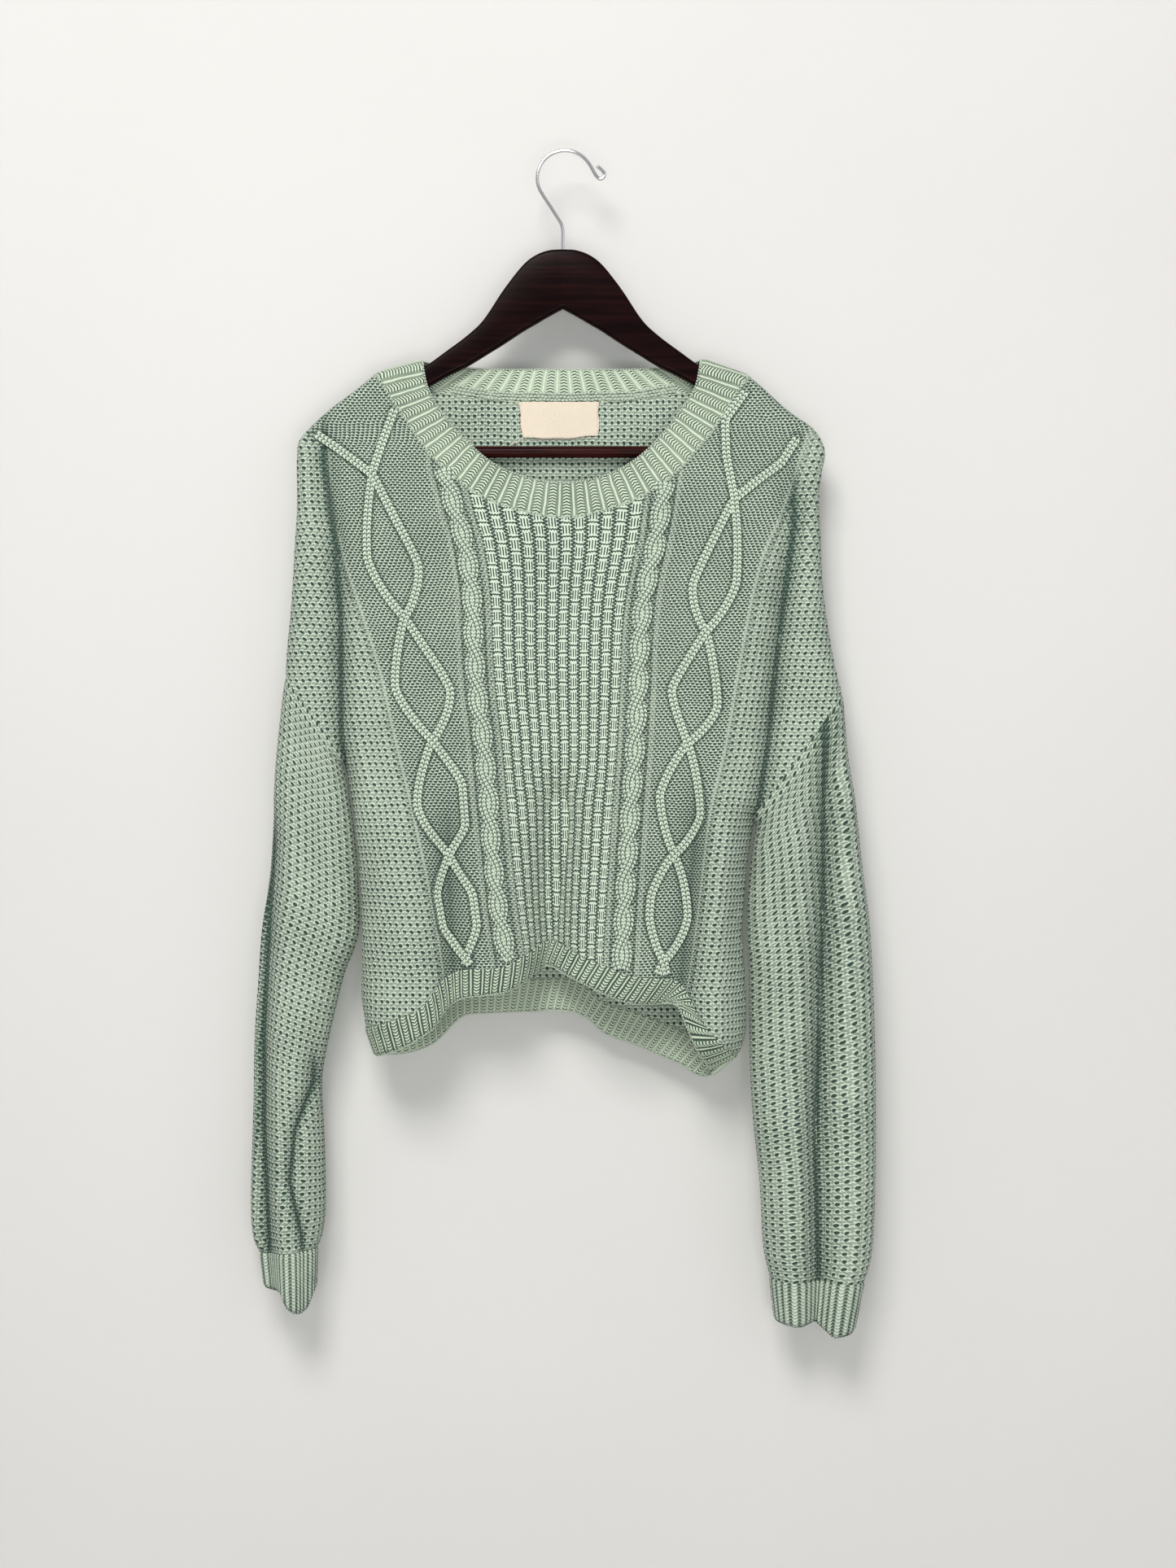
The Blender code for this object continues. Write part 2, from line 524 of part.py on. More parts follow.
class Wall:
    """Inner face of a panel on its own grid, with the outward normals that its outer points follow."""

    def __init__(self, panel, patches):
        self.panel = panel
        self.rows = ROWS
        self.columns = coarse_columns(patches)
        patch = np.minimum(self.columns.astype(int), len(patches) - 1)
        share = self.columns - patch
        stack = [panel.surface(p, np.full(len(ROWS), s), ROWS) for p, s in zip(patch, share)]
        self.inner = np.stack(stack, axis=1)
        self.normal = grid_normals(self.inner, -1.0 if panel.front else 1.0)
        self._finish_edges()

    def _finish_edges(self):
        """Edge normals: in the seam's plane at folds, along the cut at the armholes and the hem."""
        normal = self.normal
        armhole_rows = self.rows <= ARMPIT_ROW + 1e-6
        for column, side in ((0, 0), (-1, 1)):
            run = np.diff(self.panel.outline.armhole(side), axis=0)[0]
            across = np.array((-run[1], 0, run[0]))
            normal[armhole_rows, column] = flatten(normal[armhole_rows, column], across)
            inward = 1 if column == 0 else -1
            for step, weight in ARMHOLE_BLEND:
                beside = normal[armhole_rows, column + inward * step]
                beside = beside * (1 - weight) + flatten(beside, across) * weight
                beside /= np.linalg.norm(beside, axis=1, keepdims=True)
                normal[armhole_rows, column + inward * step] = beside
            normal[~armhole_rows, column] = flatten(normal[~armhole_rows, column], (0, 1, 0))
            pit = np.argmax(~armhole_rows) - 1
            normal[pit, column] = (0, 0, -1)
        hem = np.gradient(self.inner[-1], axis=0)
        square = np.stack((-hem[:, 2], np.zeros(len(hem)), hem[:, 0]), axis=1)
        normal[-1] = flatten(normal[-1], square)
        normal[-1, 0] = flatten(normal[-1, 0], (0, 1, 0))
        normal[-1, -1] = flatten(normal[-1, -1], (0, 1, 0))
        shoulder = self._shoulder_columns()
        normal[0, shoulder] = flatten(normal[0, shoulder], (0, 1, 0))

    def _shoulder_columns(self):
        """Columns whose top lies on a folded shoulder and not on the neck."""
        corners = self.panel.neck_columns
        return (self.columns <= corners[0] + 1e-6) | (self.columns >= corners[1] - 1e-6)

    def outer(self, column, row, relief):
        """Outer points at fractional columns and rows, raised by a relief over the wall."""
        base = bilinear(self.inner, column, row, self.columns, self.rows)
        normal = bilinear(self.normal, column, row, self.columns, self.rows)
        normal /= np.linalg.norm(normal, axis=-1, keepdims=True)
        return base + normal * (WALL + relief)[..., None]

    def keep(self, outer, rows, columns):
        """Outer grid as it is made; columns has a row of its own for the top and for the bottom."""
        self.made = outer
        self.made_rows = rows
        self.made_columns = columns

    def top_at(self, column):
        """Outer points on the top edge."""
        return on_edge(self.made[0], self.made_columns[0], column)

    def bottom_at(self, column):
        """Outer points on the bottom edge."""
        return on_edge(self.made[-1], self.made_columns[-1], column)

    def armhole_at(self, side, share):
        """Outer and inner points on an armhole, from the shoulder fold to the armpit."""
        column = 0 if side == 0 else -1
        return (on_edge(self.made[:, column], self.made_rows, share * ARMPIT_ROW),
                on_edge(self.inner[:, column], self.rows, share * ARMPIT_ROW))


# ---------------------------------------------------------------- relief of the front
def lattice_swing(table, z, side):
    """How far the strand on one side stands from the line of crossings at heights z."""
    rows = np.array(table, float)
    swing = np.zeros_like(z)
    for here, after in zip(rows[:-1], rows[1:]):
        share = np.clip((here[0] - z) / (here[0] - after[0]), 0, 1)
        inside = (z <= here[0]) & (z > after[0])
        swing = np.where(inside, here[1 + side] * np.sin(np.pi * share) ** 0.85, swing)
    return np.maximum(swing, STRAND_HALF + CROSSING_GAP)


def lattice_columns(panel, patch, rows, table, side):
    """A patch's strand: its place and half width as shares from the line of crossings, and the width."""
    crossing = panel.guides[patch + 1 if side == 0 else patch]
    other = panel.guides[patch if side == 0 else patch + 1]
    line = crossing.at(rows)
    width = np.linalg.norm(other.at(rows) - line, axis=1)
    strand = lattice_swing(table, line[:, 1], side)
    limit = width - STRAND_HALF - STRAND_BESIDE
    strand = np.minimum(strand, np.maximum(limit, STRAND_HALF + CROSSING_GAP))
    return strand / width, STRAND_HALF / width, width


def raise_front(wall):
    """Outer points of the front with its strands, rope cables and knit ridges."""
    panel = wall.panel
    rows = with_middles(wall.rows, 0.04)
    count = len(rows)
    blocks = []
    reliefs = []

    def add(columns, relief):
        blocks.append(np.broadcast_to(columns, (count, np.shape(columns)[-1])))
        reliefs.append(np.broadcast_to(relief, (count, np.shape(relief)[-1])))

    fade = np.clip(np.minimum(rows / TOP_FADE, (1 - rows) / HEM_FADE), 0, 1)
    plain_side = np.array(SIDE_PATCH)

    def outer_strand(patch, table, side):
        """Patch between the panel's edge and the line of crossings."""
        strand, half, _width = lattice_columns(panel, patch, rows, table, side)
        near = strand - half
        far = strand + half
        shares = np.stack((near, strand, far, (far + 1) / 2), axis=1)
        relief = np.stack((0.2 * fade, STRAND_RELIEF * fade, 0.2 * fade, 0 * fade), axis=1)
        return shares, relief

    def inner_strand(patch, table, side):
        """Patch between the line of crossings and the rope cable."""
        strand, half, width = lattice_columns(panel, patch, rows, table, side)
        rope = 1 - ROPE_HALF / width
        half_rope = 1 - ROPE_HALF / 2 / width
        strand = np.minimum(strand, rope - half - 2.5 / width)
        near = strand - half
        far = strand + half
        twist = np.sin(2 * np.pi * rows * ROPE_LENGTH / ROPE_TWIST)
        shares = np.stack((np.minimum(near * 0.2, 0.06), np.minimum(near * 0.55, 0.16), near, strand,
                           far, (far + rope) / 2, rope, half_rope), axis=1)
        relief = np.stack((0 * fade, 0 * fade, 0.2 * fade, STRAND_RELIEF * fade, 0.2 * fade,
                           RIDGE_RELIEF * fade, 0.1 * fade,
                           (ROPE_RELIEF + twist) * fade), axis=1)
        return shares, relief, twist

    # left half: side, panel edge to crossings, crossings to rope
    add(plain_side, np.zeros(len(plain_side)))
    shares, relief = outer_strand(1, LATTICE_LEFT, 0)
    add(2 - shares[:, ::-1], relief[:, ::-1])
    add(np.full((count, 1), 2.0), (0.3 * fade)[:, None])
    shares, relief, twist = inner_strand(2, LATTICE_LEFT, 1)
    add(2 + shares, relief)
    add(np.full((count, 1), 3.0), (ROPE_RELIEF * fade)[:, None])
    # middle
    middle_left = panel.guides[3].at(rows)
    middle_right = panel.guides[4].at(rows)
    width = np.linalg.norm(middle_right - middle_left, axis=1)
    edge = ROPE_HALF / width
    shares = [edge / 2, edge]
    relief = [(ROPE_RELIEF - twist) * fade, 0.1 * fade]
    for k in range(1, 8):
        shares.append(edge + (1 - 2 * edge) * k / 8)
        relief.append((RIDGE_RELIEF if k in (1, 7) else 0.5 * (k % 2)) * fade)
    shares += [1 - edge, 1 - edge / 2]
    relief += [0.1 * fade, (ROPE_RELIEF + twist) * fade]
    add(3 + np.stack(shares, axis=1), np.stack(relief, axis=1))
    add(np.full((count, 1), 4.0), (ROPE_RELIEF * fade)[:, None])
    # right half, mirrored
    shares, relief, _twist = inner_strand(4, LATTICE_RIGHT, 0)
    add(5 - shares[:, ::-1], relief[:, ::-1])
    add(np.full((count, 1), 5.0), (0.3 * fade)[:, None])
    shares, relief = outer_strand(5, LATTICE_RIGHT, 1)
    add(5 + shares, relief)
    add(6 + np.array(mirrored(SIDE_PATCH)), np.zeros(len(SIDE_PATCH)))
    columns = np.hstack(blocks)
    raised = np.hstack(reliefs)
    row = np.broadcast_to(rows[:, None], columns.shape)
    wall.keep(wall.outer(columns, row, raised), rows, columns[[0, -1]])


# ---------------------------------------------------------------- pieces of the sweater
def knit(name):
    """Cotton knit of one piece."""
    return material(name, COLOURS["knit"], 0.85)


def whole_top(outline, neck):
    """Top edge of a panel: shoulder, neck and shoulder, from armhole to armhole."""
    left, right = outline.shoulders
    neck_curve = spline(neck)
    blend = np.linspace(0, 1, len(neck_curve))[:, None]
    shift = (left[0] - neck_curve[0]) * (1 - blend) + (right[0] - neck_curve[-1]) * blend
    return np.vstack((left[::-1], (neck_curve + shift)[1:-1], right))


def whole_bottom(outline, hem):
    """Bottom edge of a panel, its ends on the side seams."""
    curve = spline(hem)
    left = outline.sides[0][-1]
    right = outline.sides[1][-1]
    blend = np.linspace(0, 1, len(curve))[:, None]
    return curve + (left - curve[0]) * (1 - blend) ** 8 + (right - curve[-1]) * blend ** 8


def seam_guide(outline, side):
    """Armhole, then side seam."""
    return Guide((ARMPIT_ROW, outline.armhole(side)), (1.0, outline.sides[side]))


def fitted(points, first, top, bottom, knee):
    """Guide with its ends on the panel's edges, which reaches the height of the knee at armpit row."""
    curve = spline(points)
    start = along(top, share_nearest(top, first))
    end = along(bottom, share_nearest(bottom, points[-1]))
    blend = np.linspace(0, 1, len(curve))[:, None]
    curve = curve + (start - curve[0]) * (1 - blend) ** 3 + (end - curve[-1]) * blend ** 3
    halfway = np.array((np.interp(-knee, -curve[:, 1], curve[:, 0]), knee))
    above = np.vstack((curve[curve[:, 1] > knee + 0.5], halfway))
    below = np.vstack((halfway, curve[curve[:, 1] < knee - 0.5]))
    return Guide((ARMPIT_ROW, above), (1.0, below))


def make_panels(outline):
    """Front and back panel with the walls that the bands take their edges from."""
    walls = []
    made = ((NECK_FRONT, HEM_TOP_FRONT, True,
             ((PANEL_EDGE_LEFT, -480), (CROSSING_LEFT, -465), (ROPE_LEFT, -475), (ROPE_RIGHT, -485),
              (CROSSING_RIGHT, -500), (PANEL_EDGE_RIGHT, -530)),
             (SIDE_PATCH, SHOULDER_PATCH, NECK_PATCH, FRONT_MIDDLE, mirrored(NECK_PATCH),
              mirrored(SHOULDER_PATCH), mirrored(SIDE_PATCH)), (2, 5)),
            (NECK_BACK, HEM_TOP_BACK, False,
             ((PANEL_EDGE_LEFT, -480), (CROSSING_LEFT, -465), (CROSSING_RIGHT, -500),
              (PANEL_EDGE_RIGHT, -530)),
             (SIDE_PATCH, SHOULDER_PATCH, BACK_MIDDLE, mirrored(SHOULDER_PATCH),
              mirrored(SIDE_PATCH)), (2, 3)))
    for neck, hem, front, lines, patches, corners in made:
        top = whole_top(outline, neck)
        bottom = whole_bottom(outline, hem)
        guides = [seam_guide(outline, 0)]
        for number, (line, knee) in enumerate(lines, 1):
            first = line[0]
            if number in corners:
                first = outline.shoulders[corners.index(number)][0]
            guides.append(fitted(line, first, top, bottom, knee))
        guides.append(seam_guide(outline, 1))
        walls.append(Wall(Panel(outline, guides, top, bottom, front, corners), patches))
    front, back = walls
    raise_front(front)
    column, row = np.meshgrid(back.columns, back.rows)
    back.keep(back.outer(column, row, np.zeros(column.shape)), back.rows, column[[0, -1]])
    for name, wall in (("front_panel", front), ("back_panel", back)):
        points, faces = cloth_mesh(wall.made, wall.inner, False, (wall.made_rows, wall.rows),
                                   (wall.made_columns, wall.columns))
        add_object(name, points, faces, knit("knit_" + name))
    return front, back


def rib_wall(name, inner, normal, ribs, tube, seam=None):
    """Ribbed band: a plain inner grid with ribs raised on its outer points.

    seam gives the outer points of the first row at its columns, where the band is knitted to a panel.
    """
    columns = np.arange(inner.shape[1] + (1 if tube else 0), dtype=float)
    rows = np.arange(inner.shape[0], dtype=float)
    if tube:
        inner_loop = np.concatenate((inner, inner[:, :1]), axis=1)
        normal_loop = np.concatenate((normal, normal[:, :1]), axis=1)
    else:
        inner_loop = inner
        normal_loop = normal
    middle_row = inner_loop[len(rows) // 2]
    shares = fractions(middle_row)
    steps = np.linalg.norm(np.diff(middle_row, axis=0), axis=1)
    inner_columns = [0.0]
    for number, step in enumerate(steps):
        pieces = max(1, int(math.ceil(step / BAND_STEP)))
        inner_columns += [number + (k + 1) / pieces for k in range(pieces)]
    inner_columns = np.array(inner_columns)
    fine = np.linspace(0, 1, 2 * ribs + 1)
    fine_columns = np.interp(fine, shares, columns)
    relief = np.where(np.arange(len(fine)) % 2 == 1, RIB_RELIEF, 0.1)
    if tube:
        fine_columns = fine_columns[:-1]
        relief = relief[:-1]
    column, row = np.meshgrid(fine_columns, rows)
    base = bilinear(inner_loop, column, row, columns, rows)
    out = bilinear(normal_loop, column, row, columns, rows)
    out /= np.linalg.norm(out, axis=-1, keepdims=True)
    outer = base + out * (WALL + np.broadcast_to(relief, column.shape))[..., None]
    if seam is not None:
        outer[0] = seam(fine_columns)
    fine_at = np.append(fine_columns, columns[-1]) if tube else fine_columns
    column, row = np.meshgrid(inner_columns[:-1] if tube else inner_columns, rows)
    inner = bilinear(inner_loop, column, row, columns, rows)
    points, faces = cloth_mesh(outer, inner, tube, (rows, rows),
                               (fine_at / columns[-1], inner_columns / columns[-1]))
    add_object(name, points, faces, knit("knit_" + name), 30)


def make_hem(name, wall, edge):
    """Ribbed hem band under one panel, narrowing to its free edge."""
    top = wall.inner[-1].copy()
    share = (top[:, 0] - top[0, 0]) / (top[-1, 0] - top[0, 0])
    bottom_curve = spline(edge)
    left_in = (OUTLINE_INSET, 0)
    bottom_x = bottom_curve[0, 0] + left_in[0] + share * (bottom_curve[-1, 0] - bottom_curve[0, 0]
                                                         - 2 * left_in[0])
    order = np.argsort(bottom_curve[:, 0])
    bottom_z = np.interp(bottom_x, bottom_curve[order, 0], bottom_curve[order, 1])
    top[:, 2] -= EDGE_GAP
    bottom = np.stack((bottom_x, top[:, 1] * 0.94, bottom_z), axis=1)
    bottom[0, 1] = top[0, 1]
    bottom[-1, 1] = top[-1, 1]
    inner = np.stack((top, bottom), axis=0)
    facing = -1.0 if wall.panel.front else 1.0
    normal = grid_normals(inner, facing)
    normal[0] = wall.normal[-1]
    for column in (0, -1):
        normal[1, column] = flatten(normal[1, column], (0, 1, 0))
    rib_wall(name, inner, normal, HEM_RIBS, False,
             lambda index: wall.bottom_at(np.interp(index, np.arange(len(wall.columns)), wall.columns))
             - np.array((0, 0, EDGE_GAP)))


def make_neckband(front, back):
    """Ribbed ring from the neck seam to its free inner edge, over both arms of the hanger."""
    columns_front = (front.columns >= front.panel.neck_columns[0]) & \
                    (front.columns <= front.panel.neck_columns[1])
    columns_back = (back.columns > back.panel.neck_columns[0]) & \
                   (back.columns < back.panel.neck_columns[1])
    seam = np.vstack((front.inner[0][columns_front], back.inner[0][columns_back][::-1]))
    seam_normal = np.vstack((front.normal[0][columns_front], back.normal[0][columns_back][::-1]))
    count = int(np.sum(columns_front))
    for corner in (0, count - 1):
        seam[corner, 1] = 0
    edge_front = spline(BAND_FRONT)
    edge_back = spline(BAND_BACK)[::-1]
    share_front = fractions(seam[:count])
    share_back = fractions(np.vstack((seam[count - 1:], seam[:1])))[1:-1]
    flat = np.vstack((along(edge_front, share_front), along(edge_back, share_back)))
    shares = np.concatenate((share_front, share_back))
    lengths = np.concatenate((np.full(count, 330.0), np.full(len(share_back), 240.0)))
    near = np.minimum(shares, 1 - shares) * lengths
    depth = 8.0 * rounding(near, 8.0)
    sign = np.concatenate((np.full(count, -1.0), np.full(len(share_back), 1.0)))
    edge = np.stack((flat[:, 0], sign * depth, flat[:, 1]), axis=1)
    run = np.roll(seam, -1, axis=0) - np.roll(seam, 1, axis=0)
    away = flatten(edge - seam, run)
    for corner in (0, count - 1):
        away[corner] = away[corner - 1] + away[corner + 1]
        away[corner] /= np.linalg.norm(away[corner])
    start = seam + away * EDGE_GAP
    inner = np.stack([start + (edge - start) * share for share in (0, 0.13, 1)], axis=0)
    wrapped = np.concatenate((inner[:, -1:], inner, inner[:, :1]), axis=1)
    normal = grid_normals(wrapped, 1.0)[:, 1:-1]
    normal[0] = seam_normal
    corners = back.panel.neck_columns
    front_columns = front.columns[columns_front]
    back_columns = np.concatenate(((corners[1],), back.columns[columns_back][::-1], (corners[0],)))
    step = np.vstack((start - seam, start[:1] - seam[:1]))

    def seam_points(index):
        """Outer points on the neck seam of the panels, moved over by the gap."""
        ahead = front.top_at(np.interp(index, np.arange(count), front_columns))
        behind = back.top_at(np.interp(index - (count - 1), np.arange(len(back_columns)), back_columns))
        return np.where((index <= count - 1)[:, None], ahead, behind) \
            + on_edge(step, np.arange(len(step)), index)

    rib_wall("neckband", inner, normal, NECK_RIBS, True, seam_points)


def sleeve_ring_shares():
    """Shares across a sleeve from its outer to its inner edge, and back behind."""
    half = np.sort(np.append((1 - np.cos(np.linspace(0, np.pi, 12))) / 2, PIT_SHARE))
    return half, half[::-1][1:-1]


def make_sleeve(side, front, back, outer_edge, inner_edge, folds, back_folds, cuff):
    """Sleeve tube from the armhole to the cuff, and its ribbed cuff."""
    sign = -1 if side == 0 else 1
    outline = front.panel.outline
    word = ("left", "right")[side]
    middle = ((outer_edge[0][0] + inner_edge[-1][0]) / 2, -700)
    outer_rail = inset(spline(outer_edge), OUTLINE_INSET, middle)
    inner_rail = inset(spline(inner_edge), OUTLINE_INSET, middle)
    armhole = outline.armhole(side)
    across = armhole[1] - armhole[0]
    drop = np.array((across[1], -across[0])) / np.linalg.norm(across)
    if drop[1] > 0:
        drop = -drop
    outer_rail[0] = armhole[0] + drop * EDGE_GAP
    inner_rail[0] = armhole[1] + drop * EDGE_GAP
    rows = np.concatenate(((0, 0.02), np.linspace(0.07, 1, 13)))
    outer_points = along(outer_rail, rows)
    inner_points = along(inner_rail, rows)
    front_share, back_share = sleeve_ring_shares()
    share = np.concatenate((front_share, back_share))
    faces_front = np.concatenate((np.full(len(front_share), True), np.full(len(back_share), False)))
    flat = outer_points[:, None] * (1 - share[None, :, None]) + inner_points[:, None] * share[None, :, None]
    x = flat[..., 0]
    z = flat[..., 1]
    table = np.array(SLEEVE_DEPTHS, float)[::-1]
    depth_front = np.interp(z, table[:, 0], table[:, 1]) + fold_height(folds, x, z)
    depth_back = np.interp(z, table[:, 0], table[:, 2]) + fold_height(back_folds, x, z)
    radius = np.interp(z, table[:, 0], table[:, 3])
    ring_width = np.linalg.norm(outer_points - inner_points, axis=1)[:, None]
    near = np.minimum(share, 1 - share)[None, :] * ring_width
    own = np.where(faces_front, np.maximum(depth_front, 4.0), np.maximum(depth_back, 4.0))
    own = own * rounding(near, np.minimum(radius, ring_width * 0.45))
    start = armhole[0] * (1 - share[:, None]) + armhole[1] * share[:, None]
    body = np.where(faces_front, outline.depth(start[:, 0], start[:, 1], True),
                    outline.depth(start[:, 0], start[:, 1], False))
    blend = np.clip(1 - rows / 0.16, 0, 1)[:, None]
    blend = blend * blend * (3 - 2 * blend)
    depth = own * (1 - blend) + body[None, :] * blend
    y = np.where(faces_front, -depth, depth)
    inner = np.stack((x, y, z), axis=-1)
    wrapped = np.concatenate((inner[:, -1:], inner, inner[:, :1]), axis=1)
    normal = grid_normals(wrapped, 1.0)[:, 1:-1] * sign
    plane = np.array((drop[0], 0, drop[1]))
    normal[0] = flatten(normal[0], plane)
    near_pit = np.clip((share - PIT_SHARE) / (1 - PIT_SHARE), 0, 1)[:, None]
    normal[0] = normal[0] * (1 - near_pit) + np.array((0, 0, -1)) * near_pit
    normal[0] /= np.linalg.norm(normal[0], axis=1, keepdims=True)
    last = outer_points[-1] - inner_points[-1]
    normal[-1] = flatten(normal[-1], (-last[1], 0, last[0]))
    outer = inner + normal * (WALL + SLEEVE_RELIEF)
    outer_seam, inner_seam = np.where(faces_front[:, None], front.armhole_at(side, share),
                                      back.armhole_at(side, share))
    outer[0] = outer_seam + plane * EDGE_GAP
    inner[0] = inner_seam + plane * EDGE_GAP
    shares = np.arange(inner.shape[1] + 1) / inner.shape[1]
    points, faces = cloth_mesh(outer, inner, True, (rows, rows), (shares, shares))
    add_object("sleeve_" + word, points, faces, knit("knit_sleeve_" + word))
    make_cuff(word, inner[-1], normal[-1], last, share, cuff)


def make_cuff(word, ring, ring_normal, last, share, cuff):
    """Ribbed cuff under the sleeve's last ring."""
    outer_end, inner_end, drops = cuff
    down = np.array((last[1], 0, -last[0]))
    down = down / np.linalg.norm(down)
    if down[2] > 0:
        down = -down
    top = ring + down * EDGE_GAP
    ends = np.array((outer_end, inner_end), float)
    towards = np.sign(ends[1, 0] - ends[0, 0])
    ends[0, 0] += towards * OUTLINE_INSET
    ends[1, 0] -= towards * OUTLINE_INSET
    flat = ends[0] * (1 - share[:, None]) + ends[1] * share[:, None]
    hang = np.interp(share, np.linspace(0, 1, len(drops)), drops)
    hang = np.where(ring[:, 1] < 0, hang, hang * 0.4)
    bottom = np.stack((flat[:, 0], top[:, 1] * 0.8, flat[:, 1] - hang), axis=1)
    inner = np.stack((top, (top + bottom) / 2, bottom), axis=0)
    wrapped = np.concatenate((inner[:, -1:], inner, inner[:, :1]), axis=1)
    normal = grid_normals(wrapped, 1.0)[:, 1:-1]
    agree = np.sign(np.sum(normal[1] * ring_normal, axis=1).sum())
    normal = normal * agree
    normal[0] = ring_normal
    rib_wall("cuff_" + word, inner, normal, CUFF_RIBS, True)


def make_label(back):
    """Bare woven label on the inside of the back, just under the neck seam."""
    left, right, bottom, top = LABEL_BOX
    x, z = np.meshgrid(np.linspace(left, right, 7), np.linspace(top, bottom, 4))
    y = back.panel.outline.depth(x, z, False) + SEAM_GAP / 2 - SEAM_GAP - 0.1
    near = np.stack((x, y, z), axis=-1)
    far = near - np.array((0, LABEL_THICK, 0))
    shares = np.linspace(0, 1, 7)
    rows = np.linspace(0, 1, 4)
    points, faces = cloth_mesh(far, near, False, (rows, rows), (shares, shares))
    add_object("neck_label", points, faces, material("label_cotton", COLOURS["label"], 0.8))


# ---------------------------------------------------------------- hanger
def make_hanger_body():
    """Wooden wishbone: rounded sections from one arm end to the other, bored for the hook."""
    table = np.array(HANGER_STATIONS)
    stations = np.vstack((table[::-1] * (-1, 1, 1), table[1:]))
    half = HANGER_THICK / 2
    rings = []
    for x, top, bottom in stations:
        tip = 0.72 if abs(x) > 214 else 1.0
        turn = min(HANGER_EDGE_ROUND, (top - bottom) / 2 * 0.9)
        ring = []
        for corner_y, corner_z, start in ((1, 1, 0), (-1, 1, 90), (-1, -1, 180), (1, -1, 270)):
            centre_y = corner_y * (half * tip - turn * tip)
            centre_z = top - turn if corner_z > 0 else bottom + turn
            for degrees in (0, 45, 90):
                angle = math.radians(start + degrees)
                ring.append((x, centre_y + turn * tip * math.cos(angle),
                             centre_z + turn * math.sin(angle)))
        rings.append(ring)
    rings = np.array(rings)
    count = rings.shape[1]
    index = np.arange(rings.shape[0] * count).reshape(rings.shape[:2])
    looped = np.hstack((index, index[:, :1]))
    faces = grid_faces(looped, False)
    faces.append(tuple(index[0]))
    faces.append(tuple(index[-1][::-1]))
    body = add_object("hanger_body", rings.reshape(-1, 3), faces,
                      material("hanger_wood", COLOURS["wood"], 0.28), 35)
    crown = HANGER_STATIONS[0][1]
    bpy.ops.mesh.primitive_cylinder_add(vertices=12, radius=(WIRE_RADIUS + STEM_CLEARANCE) * MM,
                                        depth=2 * (STEM_DEPTH + STEM_CLEARANCE) * MM,
                                        location=(0, 0, crown * MM))
    bore = bpy.context.active_object
    bore.name = "stem_bore"
    bore.hide_render = True
    bore.display_type = "WIRE"
    cut = body.modifiers.new("stem bore", "BOOLEAN")
    cut.operation = "DIFFERENCE"
    cut.object = bore


def make_bar():
    """Round trouser bar between the arm ends."""
    length = 2 * (BAR_SEAT_X - SEAM_GAP)
    bpy.ops.mesh.primitive_cylinder_add(vertices=16, radius=BAR_RADIUS * MM, depth=length * MM,
                                        location=(0, 0, BAR_Z * MM), rotation=(0, math.pi / 2, 0))
    bar = bpy.context.active_object
    bar.name = "hanger_bar"
    bar.data.shade_smooth()
    bar.data.set_sharp_from_angle(angle=math.radians(40))
    bar.data.materials.append(material("bar_wood", COLOURS["bar"], 0.3))


def hook_route():
    """Centre line of the wire, from the free end's curl to the stem's end in the crown."""
    centre = np.array(HOOK_CENTRE)
    angles = np.radians(np.linspace(HOOK_ROUND_FROM, HOOK_ROUND_TO, 9))
    round_part = centre + HOOK_RADIUS * np.stack((np.cos(angles), np.sin(angles)), axis=1)
    curl = np.array(HOOK_CURL[::-1])
    route = spline(np.vstack((curl, round_part, HOOK_STEM)), 2)
    end = (0, HANGER_STATIONS[0][1] - STEM_DEPTH)
    return np.vstack((route, ((0, -84.0), end)))


def make_hook():
    """Steel wire hook, its stem in the crown's bore."""
    curve = bpy.data.curves.new("hanger_hook", "CURVE")
    curve.dimensions = "3D"
    curve.bevel_depth = WIRE_RADIUS * MM
    curve.bevel_resolution = 2
    curve.use_fill_caps = True
    route = hook_route()
    line = curve.splines.new("POLY")
    line.points.add(len(route) - 1)
    for point, (x, z) in zip(line.points, route):
        point.co = (x * MM, 0, z * MM, 1)
    hook = bpy.data.objects.new("hanger_hook", curve)
    hook.data.materials.append(material("hook_steel", COLOURS["steel"], 0.12, 1.0))
    bpy.context.collection.objects.link(hook)


def main():
    """Clear the scene and make every piece."""
    for thing in list(bpy.data.objects):
        bpy.data.objects.remove(thing)
    outline = Outline()
    front, back = make_panels(outline)
    make_hem("hem_front", front, HEM_FRONT)
    make_hem("hem_back", back, HEM_BACK)
    make_neckband(front, back)
    make_sleeve(0, front, back, SLEEVE_OUTER_LEFT, SLEEVE_INNER_LEFT, SLEEVE_FOLDS_LEFT,
                SLEEVE_BACK_FOLDS_LEFT, CUFF_LEFT)
    make_sleeve(1, front, back, SLEEVE_OUTER_RIGHT, SLEEVE_INNER_RIGHT, SLEEVE_FOLDS_RIGHT,
                SLEEVE_BACK_FOLDS_RIGHT, CUFF_RIGHT)
    make_label(back)
    make_hanger_body()
    make_bar()
    make_hook()


main()
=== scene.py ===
"""A cropped cable-knit sweater on a wooden hanger with a trouser bar and a wire hook: its looks.

Frame: metres, +Z up, the garment's front faces -Y and its left edge, seen from the front, is at -X.
The origin is the inner top of the hook. Sizes in the tables are millimetres.

Each knitted piece is a thin closed wall. Its stitches are raised on a fine outer grid, and finer
detail comes from procedural materials that read the stitch coordinates of the cloth.
"""
import math

import bpy
import numpy as np
from mathutils import Matrix


